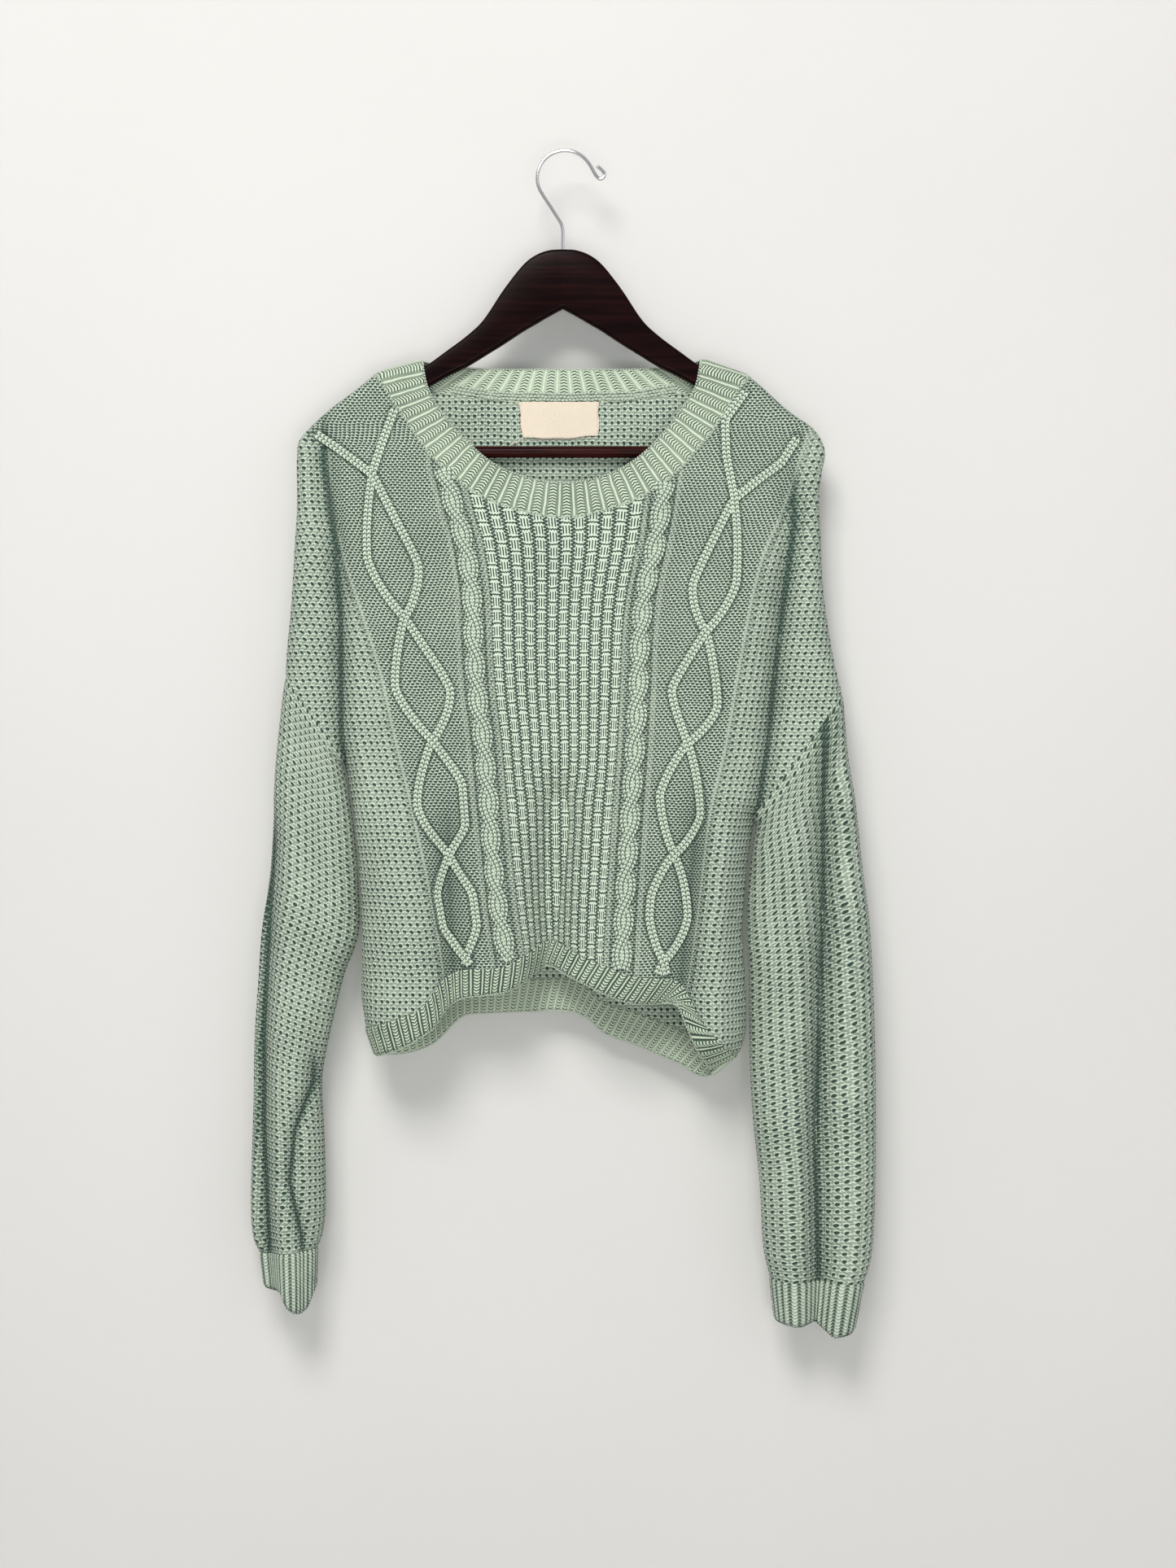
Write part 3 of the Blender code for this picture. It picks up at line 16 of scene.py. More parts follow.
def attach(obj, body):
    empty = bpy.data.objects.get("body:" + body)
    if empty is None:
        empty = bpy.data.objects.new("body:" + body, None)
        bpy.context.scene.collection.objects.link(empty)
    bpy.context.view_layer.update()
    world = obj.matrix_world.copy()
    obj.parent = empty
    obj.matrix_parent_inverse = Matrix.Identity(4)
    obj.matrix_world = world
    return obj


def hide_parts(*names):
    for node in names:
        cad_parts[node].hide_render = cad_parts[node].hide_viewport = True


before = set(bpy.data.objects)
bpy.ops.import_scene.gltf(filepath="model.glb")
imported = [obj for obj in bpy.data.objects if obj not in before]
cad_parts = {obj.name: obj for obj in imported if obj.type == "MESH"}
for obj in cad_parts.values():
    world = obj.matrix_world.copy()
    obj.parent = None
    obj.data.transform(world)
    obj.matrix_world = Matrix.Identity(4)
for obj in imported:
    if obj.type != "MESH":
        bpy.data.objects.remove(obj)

bl_info = {"name": "Cable-knit sweater on a hanger",
           "version": (1, 0, 0),
           "blender": (4, 5, 0),
           "location": "3D View > Sidebar > Sweater",
           "description": "Builds a cropped cable-knit sweater, its hanger and a plain studio",
           "category": "Add Mesh"}

MM = 0.001

# ---------------------------------------------------------------- sizes of the cloth
OUTLINE_INSET = 3.0     # from the outline that is seen to the inner face
SEAM_GAP = 0.06         # between the front and the back at their seams
EDGE_GAP = 0.12         # between a panel and the sleeve, hem or neckband that is knitted to its edge
STRAND_HALF = 3.9       # half width of one travelling strand of the lattice
STRAND_BESIDE = 4.0     # from a strand's edge to the cable or the panel's edge beside it
ROPE_HALF = 9.0         # half width of a rope cable
ROPE_BESIDE = 6.0       # from a rope to the checkerboard
MIN_DEPTH = 6.9         # the cloth's inner face stays this far from the hanger's middle plane
ARMPIT_ROW = 0.5        # the row of the grids that ends at the armpits
NECK_RIBS = 57
HEM_RIBS = 50
CUFF_RIBS = 30
BLOCK_COLUMNS = 12      # checkerboard columns between the two cables
BLOCK_HEIGHT = 6.2
CABLE_CROSS = 29.0      # height from one crossing of a rope cable to the next
SEED = 7
EXACT = 1e-9            # how near two equal numbers lie
FULL_TURN = 2 * math.pi
BACK_MIDDLE = ((0, -150), (0, -820))
BODY_MIDDLE = (0, -420)     # x and z of a point well inside the body's outline

HANGER_THICK = 11.0
HANGER_EDGE_ROUND = 3.6
BAR_RADIUS = 5.0
BAR_Z = -258.0
BAR_SEAT_X = 204.0
WIRE_RADIUS = 1.6
HOOK_CENTRE = (2.0, -22.4)
HOOK_RADIUS = 24.0
STEM_DEPTH = 13.0
LABEL_BOX = (-38.0, 31.0, -246.0, -214.5)   # left, right, bottom, top
LABEL_THICK = 0.8

# ---------------------------------------------------------------- outlines, (x, z) from the front
SHOULDER_LEFT = (
    (-161, -190), (-178, -204), (-198, -219), (-215, -234), (-227, -248), (-229, -262), (-229, -306),
    (-231, -340), (-234, -391), (-237, -422), (-239, -453))
SHOULDER_RIGHT = (
    (160, -192), (173, -203), (194, -222), (215, -237), (224, -250), (226, -262), (223, -276), (221, -298),
    (222, -326), (224, -373), (228, -405), (234, -440), (241, -468))
SIDE_LEFT = (
    (-190, -521), (-184, -545), (-179, -580), (-175, -625), (-173, -681), (-173, -725), (-170, -752))
SIDE_RIGHT = (
    (166, -572), (159, -611), (156, -654), (155, -676), (157, -711), (158, -743), (156, -764), (151, -776))
NECK_FRONT = (
    (-161, -191), (-151, -209), (-142, -221), (-127, -243), (-117, -257), (-102, -272), (-77, -292),
    (-51, -304), (-26, -311), (-4, -314), (18, -313), (44, -306), (71, -295), (98, -276), (116, -256),
    (134, -234), (160, -193))
NECK_BACK = (
    (-161, -191), (-142, -198), (-112, -204), (-81, -209), (-40, -213), (0, -214), (40, -213), (80, -209),
    (112, -204), (142, -199), (160, -193))
BAND_FRONT = (
    (-121, -181.4), (-116, -205), (-102, -229), (-79, -254), (-59, -270), (-34, -281), (-4, -286),
    (27, -283), (54, -272), (77, -254), (98, -229), (114, -204), (119, -180.6))
BAND_BACK = (
    (-121, -181.4), (-100, -183), (-60, -186), (0, -186), (60, -186), (98, -183), (119, -180.6))
HEM_TOP_FRONT = (
    (-170, -752), (-144, -743), (-124, -735), (-112, -724), (-100, -708), (-84, -701), (-54, -699),
    (-34, -690), (-16, -679), (-6, -678), (6, -684), (21, -692), (41, -699), (60, -706), (82, -708),
    (98, -711), (108, -724), (118, -743), (132, -759), (151, -776))
HEM_FRONT = (
    (-162, -776), (-140, -768), (-122, -758), (-108, -747), (-98, -732), (-82, -724), (-54, -720),
    (-36, -712), (-20, -701), (-8, -699), (6, -706), (21, -713), (38, -721), (58, -728), (80, -729),
    (97, -732), (104, -744), (110, -758), (118, -773), (130, -791))
HEM_TOP_BACK = (
    (-170, -752), (-140, -749), (-115, -738), (-90, -716), (-60, -713), (-28, -712), (5, -711), (20, -718),
    (36, -732), (58, -739), (82, -748), (105, -757), (125, -766), (151, -776))
HEM_BACK = (
    (-162, -776), (-136, -776), (-112, -767), (-88, -744), (-62, -741), (-28, -740), (5, -739), (22, -746),
    (38, -760), (58, -767), (80, -776), (103, -786), (118, -795), (130, -791))

# Lines of the knitting on the front, from the neck or shoulder to the hem.
PANEL_EDGE_LEFT = (
    (-215, -235), (-203, -258), (-200, -311), (-190, -343), (-173, -398), (-158, -445), (-145, -501),
    (-131, -559), (-122, -601), (-112, -652), (-106, -690), (-103, -711))
CROSSING_LEFT = (
    (-161, -191), (-165, -235), (-163, -279), (-135, -402), (-111, -507), (-97, -604), (-84, -675),
    (-78, -701))
ROPE_LEFT = (
    (-102, -272), (-90, -316), (-83, -340), (-77, -382), (-75, -430), (-72, -470), (-67, -510), (-60, -587),
    (-53, -652), (-46, -694))
ROPE_RIGHT = (
    (88, -284), (80, -335), (71, -376), (67, -410), (65, -456), (62, -513), (58, -569), (52, -660),
    (50, -702))
CROSSING_RIGHT = (
    (160, -193), (157, -245), (147, -300), (123, -414), (107, -509), (94, -603), (86, -680), (83, -708))
PANEL_EDGE_RIGHT = (
    (215, -237), (205, -268), (192, -305), (170, -359), (154, -435), (141, -510), (128, -569), (117, -660),
    (110, -710), (107, -722))

# Strands of the lattice: height of each crossing and how far the strands swing to each side of it.
#                   crossing z, swing to the left, swing to the right, until the next crossing
LATTICE_LEFT = ((-150, 62, 40), (-279, 21, 31), (-402, 21, 29), (-507, 21, 28), (-604, 21, 19),
                (-690, 8, 8), (-760, 8, 8))
LATTICE_RIGHT = ((-160, 40, 60), (-300, 29, 22), (-414, 24, 25), (-509, 20, 24), (-603, 18, 20),
                 (-694, 8, 8), (-760, 8, 8))

# Depth of the cloth's inner face from the hanger's middle plane, and the radius of its side folds.
#         z,   front, back, round
DEPTHS = ((-185, 7.2, 7.2, 7.2),
          (-250, 7.8, 7.6, 8.5),
          (-300, 10, 8.4, 12),
          (-380, 15, 9.5, 15),
          (-480, 20, 10.5, 18),
          (-560, 25, 11, 21),
          (-650, 31, 12, 25),
          (-720, 37, 13, 28),
          (-800, 38, 13, 30))

# Largest folds: a ridge is positive. Each path is (x, z) from top to bottom, at which it is full.
#                name,            height, half width, path, length of the fade at each end
FRONT_FOLDS = (
    ("wing_crease_left", -9, 10, ((-204, -268), (-196, -324), (-190, -401), (-189, -501), (-186, -530)), 60),
    ("wing_crease_right", -10, 11, ((198, -324), (184, -428), (176, -504), (166, -572)), 70),
    ("chest_left", 5, 26, ((-150, -330), (-140, -420), (-118, -540), (-110, -600)), 80),
    ("chest_right", 6, 24, ((158, -380), (140, -470), (128, -560), (124, -620)), 80),
    ("rope_ridge_left", 4, 20, ((-75, -430), (-62, -560), (-45, -700)), 120),
    ("rope_ridge_right", 4, 20, ((70, -430), (62, -560), (50, -700)), 120),
    ("centre_hollow", -6, 30, ((0, -420), (-2, -560), (-8, -640)), 110),
    ("hem_corner_left", 8, 20, ((-140, -600), (-124, -690), (-116, -760)), 90),
    ("hem_step_left", -10, 14, ((-97, -610), (-93, -690), (-90, -760)), 70),
    ("lattice_trough_left", -4, 11, ((-66, -600), (-62, -660), (-61, -740)), 50),
    ("hem_notch", -22, 17, ((-4, -580), (-8, -640), (-12, -720)), 60),
    ("hem_step_right", -9, 14, ((112, -600), (104, -680), (98, -740)), 70),
    ("hem_corner_right", 8, 18, ((132, -600), (128, -690), (126, -780)), 90),
)
BACK_FOLDS = (
    ("wing_crease_left", -3, 12, ((-196, -330), (-190, -430), (-186, -530)), 60),
    ("wing_crease_right", -3, 12, ((190, -340), (178, -450), (166, -560)), 60),
    ("back_wave_left", 3.5, 26, ((-110, -420), (-118, -600), (-128, -770)), 150),
    ("back_hollow_left", -4, 20, ((-80, -560), (-80, -650), (-84, -750)), 90),
    ("back_wave_centre", 3, 30, ((-30, -450), (-28, -600), (-20, -750)), 140),
    ("back_hollow_right", -5, 16, ((30, -600), (24, -680), (22, -760)), 80),
    ("back_wave_right", 3.5, 28, ((90, -420), (82, -600), (74, -780)), 150),
)

# Sleeves: both edges from the armhole to the cuff, with the depths of the tube.
SLEEVE_OUTER_LEFT = (
    (-239, -455), (-245, -508), (-248, -544), (-252, -615), (-259, -668), (-262, -713), (-265, -762),
    (-266, -821), (-268, -901), (-266, -932), (-260, -947))
SLEEVE_INNER_LEFT = (
    (-190, -523), (-184.5, -548), (-179, -585), (-175.8, -625), (-174.5, -663), (-178.5, -684),
    (-188, -708), (-196, -740), (-203, -771), (-207, -800), (-205, -849), (-204, -901), (-206, -927),
    (-211, -942))
SLEEVE_OUTER_RIGHT = (
    (241, -470), (245, -519), (251, -556), (257, -611), (264, -668), (268, -754), (269, -835), (268, -910),
    (265, -950), (259, -971))
SLEEVE_INNER_RIGHT = (
    (167, -575), (163, -600), (159.5, -628), (158, -654), (158.5, -680), (160, -711), (160.5, -747),
    (161, -783), (164, -835), (169, -885), (172, -940), (178, -968))
#                z, front, back, round
SLEEVE_DEPTHS = ((-450, 17, 10, 17),
                 (-560, 20, 11, 22),
                 (-700, 22, 12, 25),
                 (-900, 22, 12, 24),
                 (-1000, 17, 12, 18))
SLEEVE_FOLDS_LEFT = (
    ("outer_crease", -13, 9, ((-247, -600), (-252, -690), (-255, -760), (-255, -830), (-250, -950)), 80),
    ("front_ridge", 4, 16, ((-222, -600), (-226, -720), (-231, -830), (-226, -940)), 110),
    ("lower_crease", -7, 7, ((-214, -797), (-228, -838), (-232, -882), (-223, -929)), 40),
)
SLEEVE_FOLDS_RIGHT = (
    ("front_crease", -14, 12, ((223, -497), (223, -640), (219, -760), (216, -860), (219, -960)), 90),
    ("inner_ridge", 5, 18, ((196, -600), (197, -760), (198, -940)), 120),
    ("outer_ridge", 4, 15, ((246, -560), (248, -720), (248, -940)), 120),
)
SLEEVE_BACK_FOLDS_LEFT = (
    ("rear_hollow", -3, 14, ((-225, -600), (-232, -800), (-235, -930)), 120),
)
SLEEVE_BACK_FOLDS_RIGHT = (("rear_hollow", -3, 16, ((212, -640), (214, -800), (214, -930)), 120),)

# Cuffs: where each edge ends, and how far the cuff's bottom hangs below that line across its width.
#            outer end,     inner end,     drops at even steps across the width
CUFF_LEFT = ((-257, -974), (-212, -974), (0, 2, 2, 3, 15, 20, 21, 17, 3))
CUFF_RIGHT = ((251, -1010), (182, -1003), (2, 7, -4, 1, 0))

# Hanger: top and bottom edge from the middle to the end, the same on both sides.
#                x,  top z, bottom z
HANGER_STATIONS = ((0, -84.0, -135.0),
                   (12, -84.9, -141.5),
                   (24, -89.5, -148.5),
                   (35, -98.5, -155.0),
                   (51, -119.0, -165.5),
                   (68, -144.5, -176.0),
                   (82, -158.0, -184.5),
                   (100, -171.5, -193.5),
                   (120, -185.5, -204.5),
                   (145, -197.5, -216.5),
                   (170, -211.0, -229.5),
                   (190, -224.2, -241.0),
                   (203.9, -234.8, -248.0),
                   (204, -234.9, -265.0),
                   (210, -240.8, -266.0),
                   (215, -247.0, -263.0),
                   (217, -251.0, -259.0))

# Hook: the wire's free end after the round of the hook, and its way down into the crown.
HOOK_ROUND_FROM = 36.0      # degrees, near the free end
HOOK_ROUND_TO = 205.0       # where the round ends on the far side
HOOK_CURL = (
    (25.2, -14.2), (28.6, -20.4), (31.9, -22.9), (35.2, -21.8), (36.0, -18.6), (34.0, -15.8), (31.2, -13.4),
    (29.2, -11.8))
HOOK_STEM = ((-11.5, -45.5), (-4.0, -57.2), (-1.2, -62.0), (0.0, -68.0), (0.0, -80.0))


# ---------------------------------------------------------------- curves and cloth
def spline(points, per_span=8):
    """Dense smooth curve through points, as a Catmull-Rom spline."""
    pts = np.array(points, float)
    ends = np.vstack((2 * pts[0] - pts[1], pts, 2 * pts[-1] - pts[-2]))
    t = np.linspace(0, 1, per_span, endpoint=False)[:, None]
    spans = []
    for a, b, c, d in zip(ends[:-3], ends[1:-2], ends[2:-1], ends[3:]):
        spans.append(0.5 * (2 * b + (c - a) * t + (2 * a - 5 * b + 4 * c - d) * t ** 2
                            + (3 * b - a - 3 * c + d) * t ** 3))
    return np.vstack(spans + [pts[-1:]])


def run_length(points, axis=0):
    """Distance along a line or along one axis of a grid, from its first point to each point."""
    steps = np.linalg.norm(np.diff(points, axis=axis), axis=-1)
    return np.insert(np.cumsum(steps, axis=axis), 0, 0.0, axis=axis)


def fractions(curve):
    """Share of the curve's length at each of its points."""
    length = run_length(curve)
    return length / length[-1]


def read_at(values, at, where):
    """Points at the places where, from points that stand at the places at."""
    return np.stack([np.interp(where, at, column) for column in values.T], axis=-1)


def along(curve, share):
    """Points at the given shares of a curve's length."""
    return read_at(curve, fractions(curve), share)


def share_nearest(curve, point):
    """Share of a curve's length at its point nearest to the given one."""
    shares = np.linspace(0, 1, 8001)
    dense = along(curve, shares)
    return shares[np.argmin(np.linalg.norm(dense - np.array(point), axis=1))]


def inset(curve, distance, towards):
    """The curve moved sideways in its plane by a distance, to the side of a given point."""
    tangent = np.gradient(curve, axis=0)
    normal = np.stack((-tangent[:, 1], tangent[:, 0]), axis=1)
    normal /= np.linalg.norm(normal, axis=1)[:, None]
    side = np.sign(np.sum((np.array(towards) - curve) * normal, axis=1))
    return curve + normal * side[:, None] * distance


def distance_to(curve, x, z):
    """Distance in the front view from points to a dense curve."""
    point = np.stack((x, z), axis=-1)[..., None, :]
    start = curve[:-1]
    run = curve[1:] - start
    share = np.clip(np.sum((point - start) * run, axis=-1) / np.sum(run * run, axis=-1), 0, 1)
    nearest = start + share[..., None] * run
    return np.min(np.linalg.norm(point - nearest, axis=-1), axis=-1)


def rounding(distance, radius):
    """Quarter-round profile: 0 at a folded edge, 1 from one radius away."""
    share = np.clip(distance / radius, 0, 1)
    return np.sqrt(1 - (1 - share) ** 2)


def fold_height(folds, x, z):
    """Sum of ridges and troughs at points of the front view."""
    total = np.zeros_like(x)
    for _name, height, half_width, path, fade in folds:
        line = np.array(path, float)[::-1]
        centre = np.interp(z, line[:, 1], line[:, 0])
        above = np.clip((line[-1, 1] + fade - z) / fade, 0, 1)
        below = np.clip((z - line[0, 1] + fade) / fade, 0, 1)
        strength = (above ** 2 * (3 - 2 * above)) * (below ** 2 * (3 - 2 * below))
        total += height * strength * np.exp(-((x - centre) / half_width) ** 2)
    return total


def bridge(lower, upper, lower_share, upper_share):
    """Triangles between two rows of vertex indices that run the same way with other counts."""
    faces = []
    i, j = 0, 0
    while i < len(lower) - 1 or j < len(upper) - 1:
        step_lower = j == len(upper) - 1
        if not step_lower and i < len(lower) - 1:
            step_lower = lower_share[i] + lower_share[i + 1] <= upper_share[j] + upper_share[j + 1]
        if step_lower:
            faces.append((lower[i], lower[i + 1], upper[j]))
            i += 1
        else:
            faces.append((lower[i], upper[j + 1], upper[j]))
            j += 1
    return faces


class Outline:
    """Edges of the body's inner face in the front view, and its depth at any point of it."""

    def __init__(self):
        self.closed = [inset(spline(edge), OUTLINE_INSET, BODY_MIDDLE)
                       for edge in (SHOULDER_LEFT, SHOULDER_RIGHT, SIDE_LEFT, SIDE_RIGHT)]
        self.shoulders, self.sides = self.closed[:2], self.closed[2:]

    def armhole(self, side):
        """Straight armhole from the shoulder fold to the armpit."""
        return np.vstack((self.shoulders[side][-1], self.sides[side][0]))

    def depth(self, x, z, front):
        """Distance of the inner face from the middle plane."""
        table = np.array(DEPTHS, float)[::-1]
        full = np.interp(z, table[:, 0], table[:, 1 if front else 2])
        radius = np.interp(z, table[:, 0], table[:, 3])
        full = full + fold_height(FRONT_FOLDS if front else BACK_FOLDS, x, z)
        near = np.min([distance_to(curve, x, z) for curve in self.closed], axis=0)
        return np.maximum(full, MIN_DEPTH) * rounding(near, radius)


class Guide:
    """Line of the knitting from the top edge to the hem, read by row share."""

    def __init__(self, *stretches):
        # each stretch: (share where it ends, dense curve)
        self.stretches = stretches

    def at(self, row):
        """Points of the line at row shares."""
        row = np.asarray(row, float)
        result = np.zeros(row.shape + (2,))
        start = 0.0
        for end, curve in self.stretches:
            inside = (row >= start) & (row <= end)
            share = np.clip((row - start) / (end - start), 0, 1)
            result[inside] = along(curve, share)[inside]
            start = end
        return result


class Panel:
    """Front or back: patches between guides, each spanned from its four edges."""

    def __init__(self, outline, guides, top, bottom, front, neck_columns):
        self.outline, self.guides, self.front = outline, guides, front
        self.neck_columns = neck_columns
        self.edges = []     # the top and the bottom edge, each with the guides' shares of its length
        for row, edge in enumerate((top, bottom)):
            shares_there = [share_nearest(edge, guide.at((0.0, 1.0))[row]) for guide in guides[1:-1]]
            self.edges.append((edge, [0.0] + shares_there + [1.0]))

    def front_view(self, patch, u, v):
        """Coons patch between two guides in the front view."""
        u, v = np.broadcast_arrays(u, v)
        left, right = self.guides[patch], self.guides[patch + 1]
        top, bottom = (along(edge, share[patch] + u * (share[patch + 1] - share[patch]))
                       for edge, share in self.edges)
        ends_left, ends_right = left.at((0.0, 1.0)), right.at((0.0, 1.0))
        sides_left, sides_right = left.at(v), right.at(v)
        u, v = u[..., None], v[..., None]
        corner_top = (1 - u) * ends_left[0] + u * ends_right[0]
        corner_bottom = (1 - u) * ends_left[1] + u * ends_right[1]
        sides = (1 - u) * sides_left + u * sides_right
        return sides + (1 - v) * (top - corner_top) + v * (bottom - corner_bottom)

    def surface(self, patch, u, v):
        """Points of the inner face."""
        x, z = np.moveaxis(self.front_view(patch, u, v), -1, 0)
        depth = self.outline.depth(x, z, self.front) + SEAM_GAP / 2
        return np.stack((x, -depth if self.front else depth, z), axis=-1)


def unit(vectors):
    """The vectors at length 1."""
    return vectors / np.maximum(np.linalg.norm(vectors, axis=-1, keepdims=True), 1e-9)


def grid_normals(points, facing):
    """Unit normals of a grid of points, turned to the side of the given sign along Y."""
    down = np.gradient(points, axis=0)
    across = np.gradient(points, axis=1)
    return unit(np.cross(across, down) * facing)


def flatten(normal, direction):
    """Normals with their part along a direction taken out."""
    way = unit(np.asarray(direction, float))
    return unit(normal - way * np.sum(normal * way, axis=-1, keepdims=True))


def bilinear(grid, column, row, column_at, row_at):
    """Values of a grid at fractional columns and rows."""
    c = np.clip(np.searchsorted(column_at, column, side="right") - 1, 0, len(column_at) - 2)
    r = np.clip(np.searchsorted(row_at, row, side="right") - 1, 0, len(row_at) - 2)
    s = ((column - column_at[c]) / (column_at[c + 1] - column_at[c]))[..., None]
    t = ((row - row_at[r]) / (row_at[r + 1] - row_at[r]))[..., None]
    upper = grid[r, c] * (1 - s) + grid[r, c + 1] * s
    lower = grid[r + 1, c] * (1 - s) + grid[r + 1, c + 1] * s
    return upper * (1 - t) + lower * t


def whole_top(outline, neck):
    """Top edge of a panel: shoulder, neck and shoulder, from armhole to armhole."""
    left, right = outline.shoulders
    neck_curve = spline(neck)
    blend = np.linspace(0, 1, len(neck_curve))[:, None]
    shift = (left[0] - neck_curve[0]) * (1 - blend) + (right[0] - neck_curve[-1]) * blend
    return np.vstack((left[::-1], (neck_curve + shift)[1:-1], right))


def whole_bottom(outline, hem):
    """Bottom edge of a panel, its ends on the side seams."""
    curve = spline(hem)
    left, right = (side[-1] for side in outline.sides)
    blend = np.linspace(0, 1, len(curve))[:, None]
    return curve + (left - curve[0]) * (1 - blend) ** 8 + (right - curve[-1]) * blend ** 8


def seam_guide(outline, side):
    """Armhole, then side seam."""
    return Guide((ARMPIT_ROW, outline.armhole(side)), (1.0, outline.sides[side]))


def fitted(points, first, top, bottom, knee):
    """Guide with its ends on the panel's edges, which reaches the height of the knee at armpit row."""
    curve = spline(points)
    start = along(top, share_nearest(top, first))
    end = along(bottom, share_nearest(bottom, points[-1]))
    blend = np.linspace(0, 1, len(curve))[:, None]
    curve = curve + (start - curve[0]) * (1 - blend) ** 3 + (end - curve[-1]) * blend ** 3
    halfway = np.array((np.interp(-knee, -curve[:, 1], curve[:, 0]), knee))
    above = np.vstack((curve[curve[:, 1] > knee + 0.5], halfway))
    below = np.vstack((halfway, curve[curve[:, 1] < knee - 0.5]))
    return Guide((ARMPIT_ROW, above), (1.0, below))


def hook_route():
    """Centre line of the wire, from the free end's curl to the stem's end in the crown."""
    centre = np.array(HOOK_CENTRE)
    angles = np.radians(np.linspace(HOOK_ROUND_FROM, HOOK_ROUND_TO, 9))
    round_part = centre + HOOK_RADIUS * np.stack((np.cos(angles), np.sin(angles)), axis=1)
    curl = np.array(HOOK_CURL[::-1])
    route = spline(np.vstack((curl, round_part, HOOK_STEM)), 2)
    end = (0, HANGER_STATIONS[0][1] - STEM_DEPTH)
    return np.vstack((route, ((0, -84.0), end)))


# ---------------------------------------------------------------- meshes
def smooth_step(value):
    """0 below 0, 1 above 1 and a soft change between."""
    value = np.clip(value, 0, 1)
    return value * value * (3 - 2 * value)


def sheet_faces(index, flip):
    """Four-sided faces of a grid of vertex indices."""
    quads = np.stack((index[:-1, :-1], index[1:, :-1], index[1:, 1:], index[:-1, 1:]), axis=-1)
    quads = quads.reshape(-1, 4)
    return quads[:, ::-1] if flip else quads


def link_object(name, data):
    """Object of a mesh, a light or a camera in the scene."""
    thing = bpy.data.objects.new(name, data)
    bpy.context.scene.collection.objects.link(thing)
    return thing


def closed_round(grid):
    """A grid with its first column again after its last."""
    return np.concatenate((grid, grid[:, :1]), axis=1)


def ring_normals(grid):
    """Normals of a tube's grid of points, which has no column twice."""
    wrapped = np.concatenate((grid[:, -1:], grid, grid[:, :1]), axis=1)
    return grid_normals(wrapped, 1.0)[:, 1:-1]


def add_mesh(name, points, faces, coordinates=None, masks=None):
    """Object from points in millimetres; coordinates hold one UV pair for each corner of each face."""
    mesh = bpy.data.meshes.new(name)
    mesh.from_pydata((np.asarray(points) * MM).tolist(), [], [list(map(int, face)) for face in faces])
    if coordinates is not None:
        layer = mesh.uv_layers.new(name="stitch")
        layer.data.foreach_set("uv", np.asarray(coordinates, np.float32).ravel())
    for key, values in (masks or {}).items():
        layer = mesh.attributes.new(key, "FLOAT", "POINT")
        layer.data.foreach_set("value", np.asarray(values, np.float32).ravel())
    mesh.shade_smooth()
    mesh.update()
    return link_object(name, mesh)


def corner_pairs(grid, flip):
    """UV pairs of a grid of coordinates in the order of the faces of sheet_faces."""
    corners = np.stack((grid[:-1, :-1], grid[1:, :-1], grid[1:, 1:], grid[:-1, 1:]), axis=2)
    corners = corners.reshape(-1, 4, 2)
    return (corners[:, ::-1] if flip else corners).reshape(-1, 2)


def closed_wall(name, outer, inner, tube, flip, outer_map, inner_map, masks=None, inner_masks=None):
    """Closed wall between an outer and an inner grid of points; each map is a grid of stitch coordinates.

    A tube's maps have one column more than its points, so that the stitches run on round it.
    """
    count = outer.shape[0] * outer.shape[1]
    first = np.arange(count).reshape(outer.shape[:2])
    second = count + np.arange(inner.shape[0] * inner.shape[1]).reshape(inner.shape[:2])
    if tube:
        first, second = closed_round(first), closed_round(second)
    faces = sheet_faces(first, flip).tolist() + sheet_faces(second, not flip).tolist()
    pairs = [corner_pairs(outer_map, flip), corner_pairs(inner_map, not flip)]
    table = np.vstack((outer_map[:, :outer.shape[1]].reshape(-1, 2),
                       inner_map[:, :inner.shape[1]].reshape(-1, 2)))
    rims = [(first[0], second[0], False), (first[-1], second[-1], True)]
    if not tube:
        rims += [(first[:, 0], second[:, 0], True), (first[:, -1], second[:, -1], False)]
    for outside, inside, turned in rims:
        strip = bridge(outside, inside, np.linspace(0, 1, len(outside)), np.linspace(0, 1, len(inside)))
        if turned != flip:
            strip = [face[::-1] for face in strip]
        faces += strip
        pairs.append(table[np.array(strip).ravel()])
    whole = {}
    for key, values in (masks or {}).items():
        behind = (inner_masks or {}).get(key, np.zeros(inner.shape[:2]))
        whole[key] = np.concatenate((np.ravel(values), np.ravel(behind)))
    points = np.vstack((outer.reshape(-1, 3), inner.reshape(-1, 3)))
    return face_out(add_mesh(name, points, faces, np.vstack(pairs), whole))


def round_faces(grid, start=0):
    """Faces of a tube's grid of points with its two ends closed; start is its first vertex."""
    index = start + np.arange(grid.shape[0] * grid.shape[1]).reshape(grid.shape[:2])
    return sheet_faces(closed_round(index), False).tolist() + [index[0].tolist(), index[-1][::-1].tolist()]


def blend_edge(normal, length, cut, reach):
    """Normals turned along a cut, fully at length 0 and not at all from a reach on."""
    share = smooth_step(1 - length / reach)[..., None]
    return unit(normal * (1 - share) + flatten(normal, cut) * share)


def path_tube(name, route, radius, sides):
    """Round wire along a route of points in millimetres."""
    route = np.asarray(route, float)
    tangent = unit(np.gradient(route, axis=0))
    side = unit(np.cross(tangent, (0, 1, 0)))
    up = np.cross(side, tangent)
    turn = np.linspace(0, 2 * np.pi, sides, endpoint=False)
    radius = np.broadcast_to(radius, len(route))
    ring = side[:, None] * np.cos(turn)[None, :, None] + up[:, None] * np.sin(turn)[None, :, None]
    points = route[:, None] + ring * radius[:, None, None]
    return face_out(add_mesh(name, points.reshape(-1, 3), round_faces(points)))


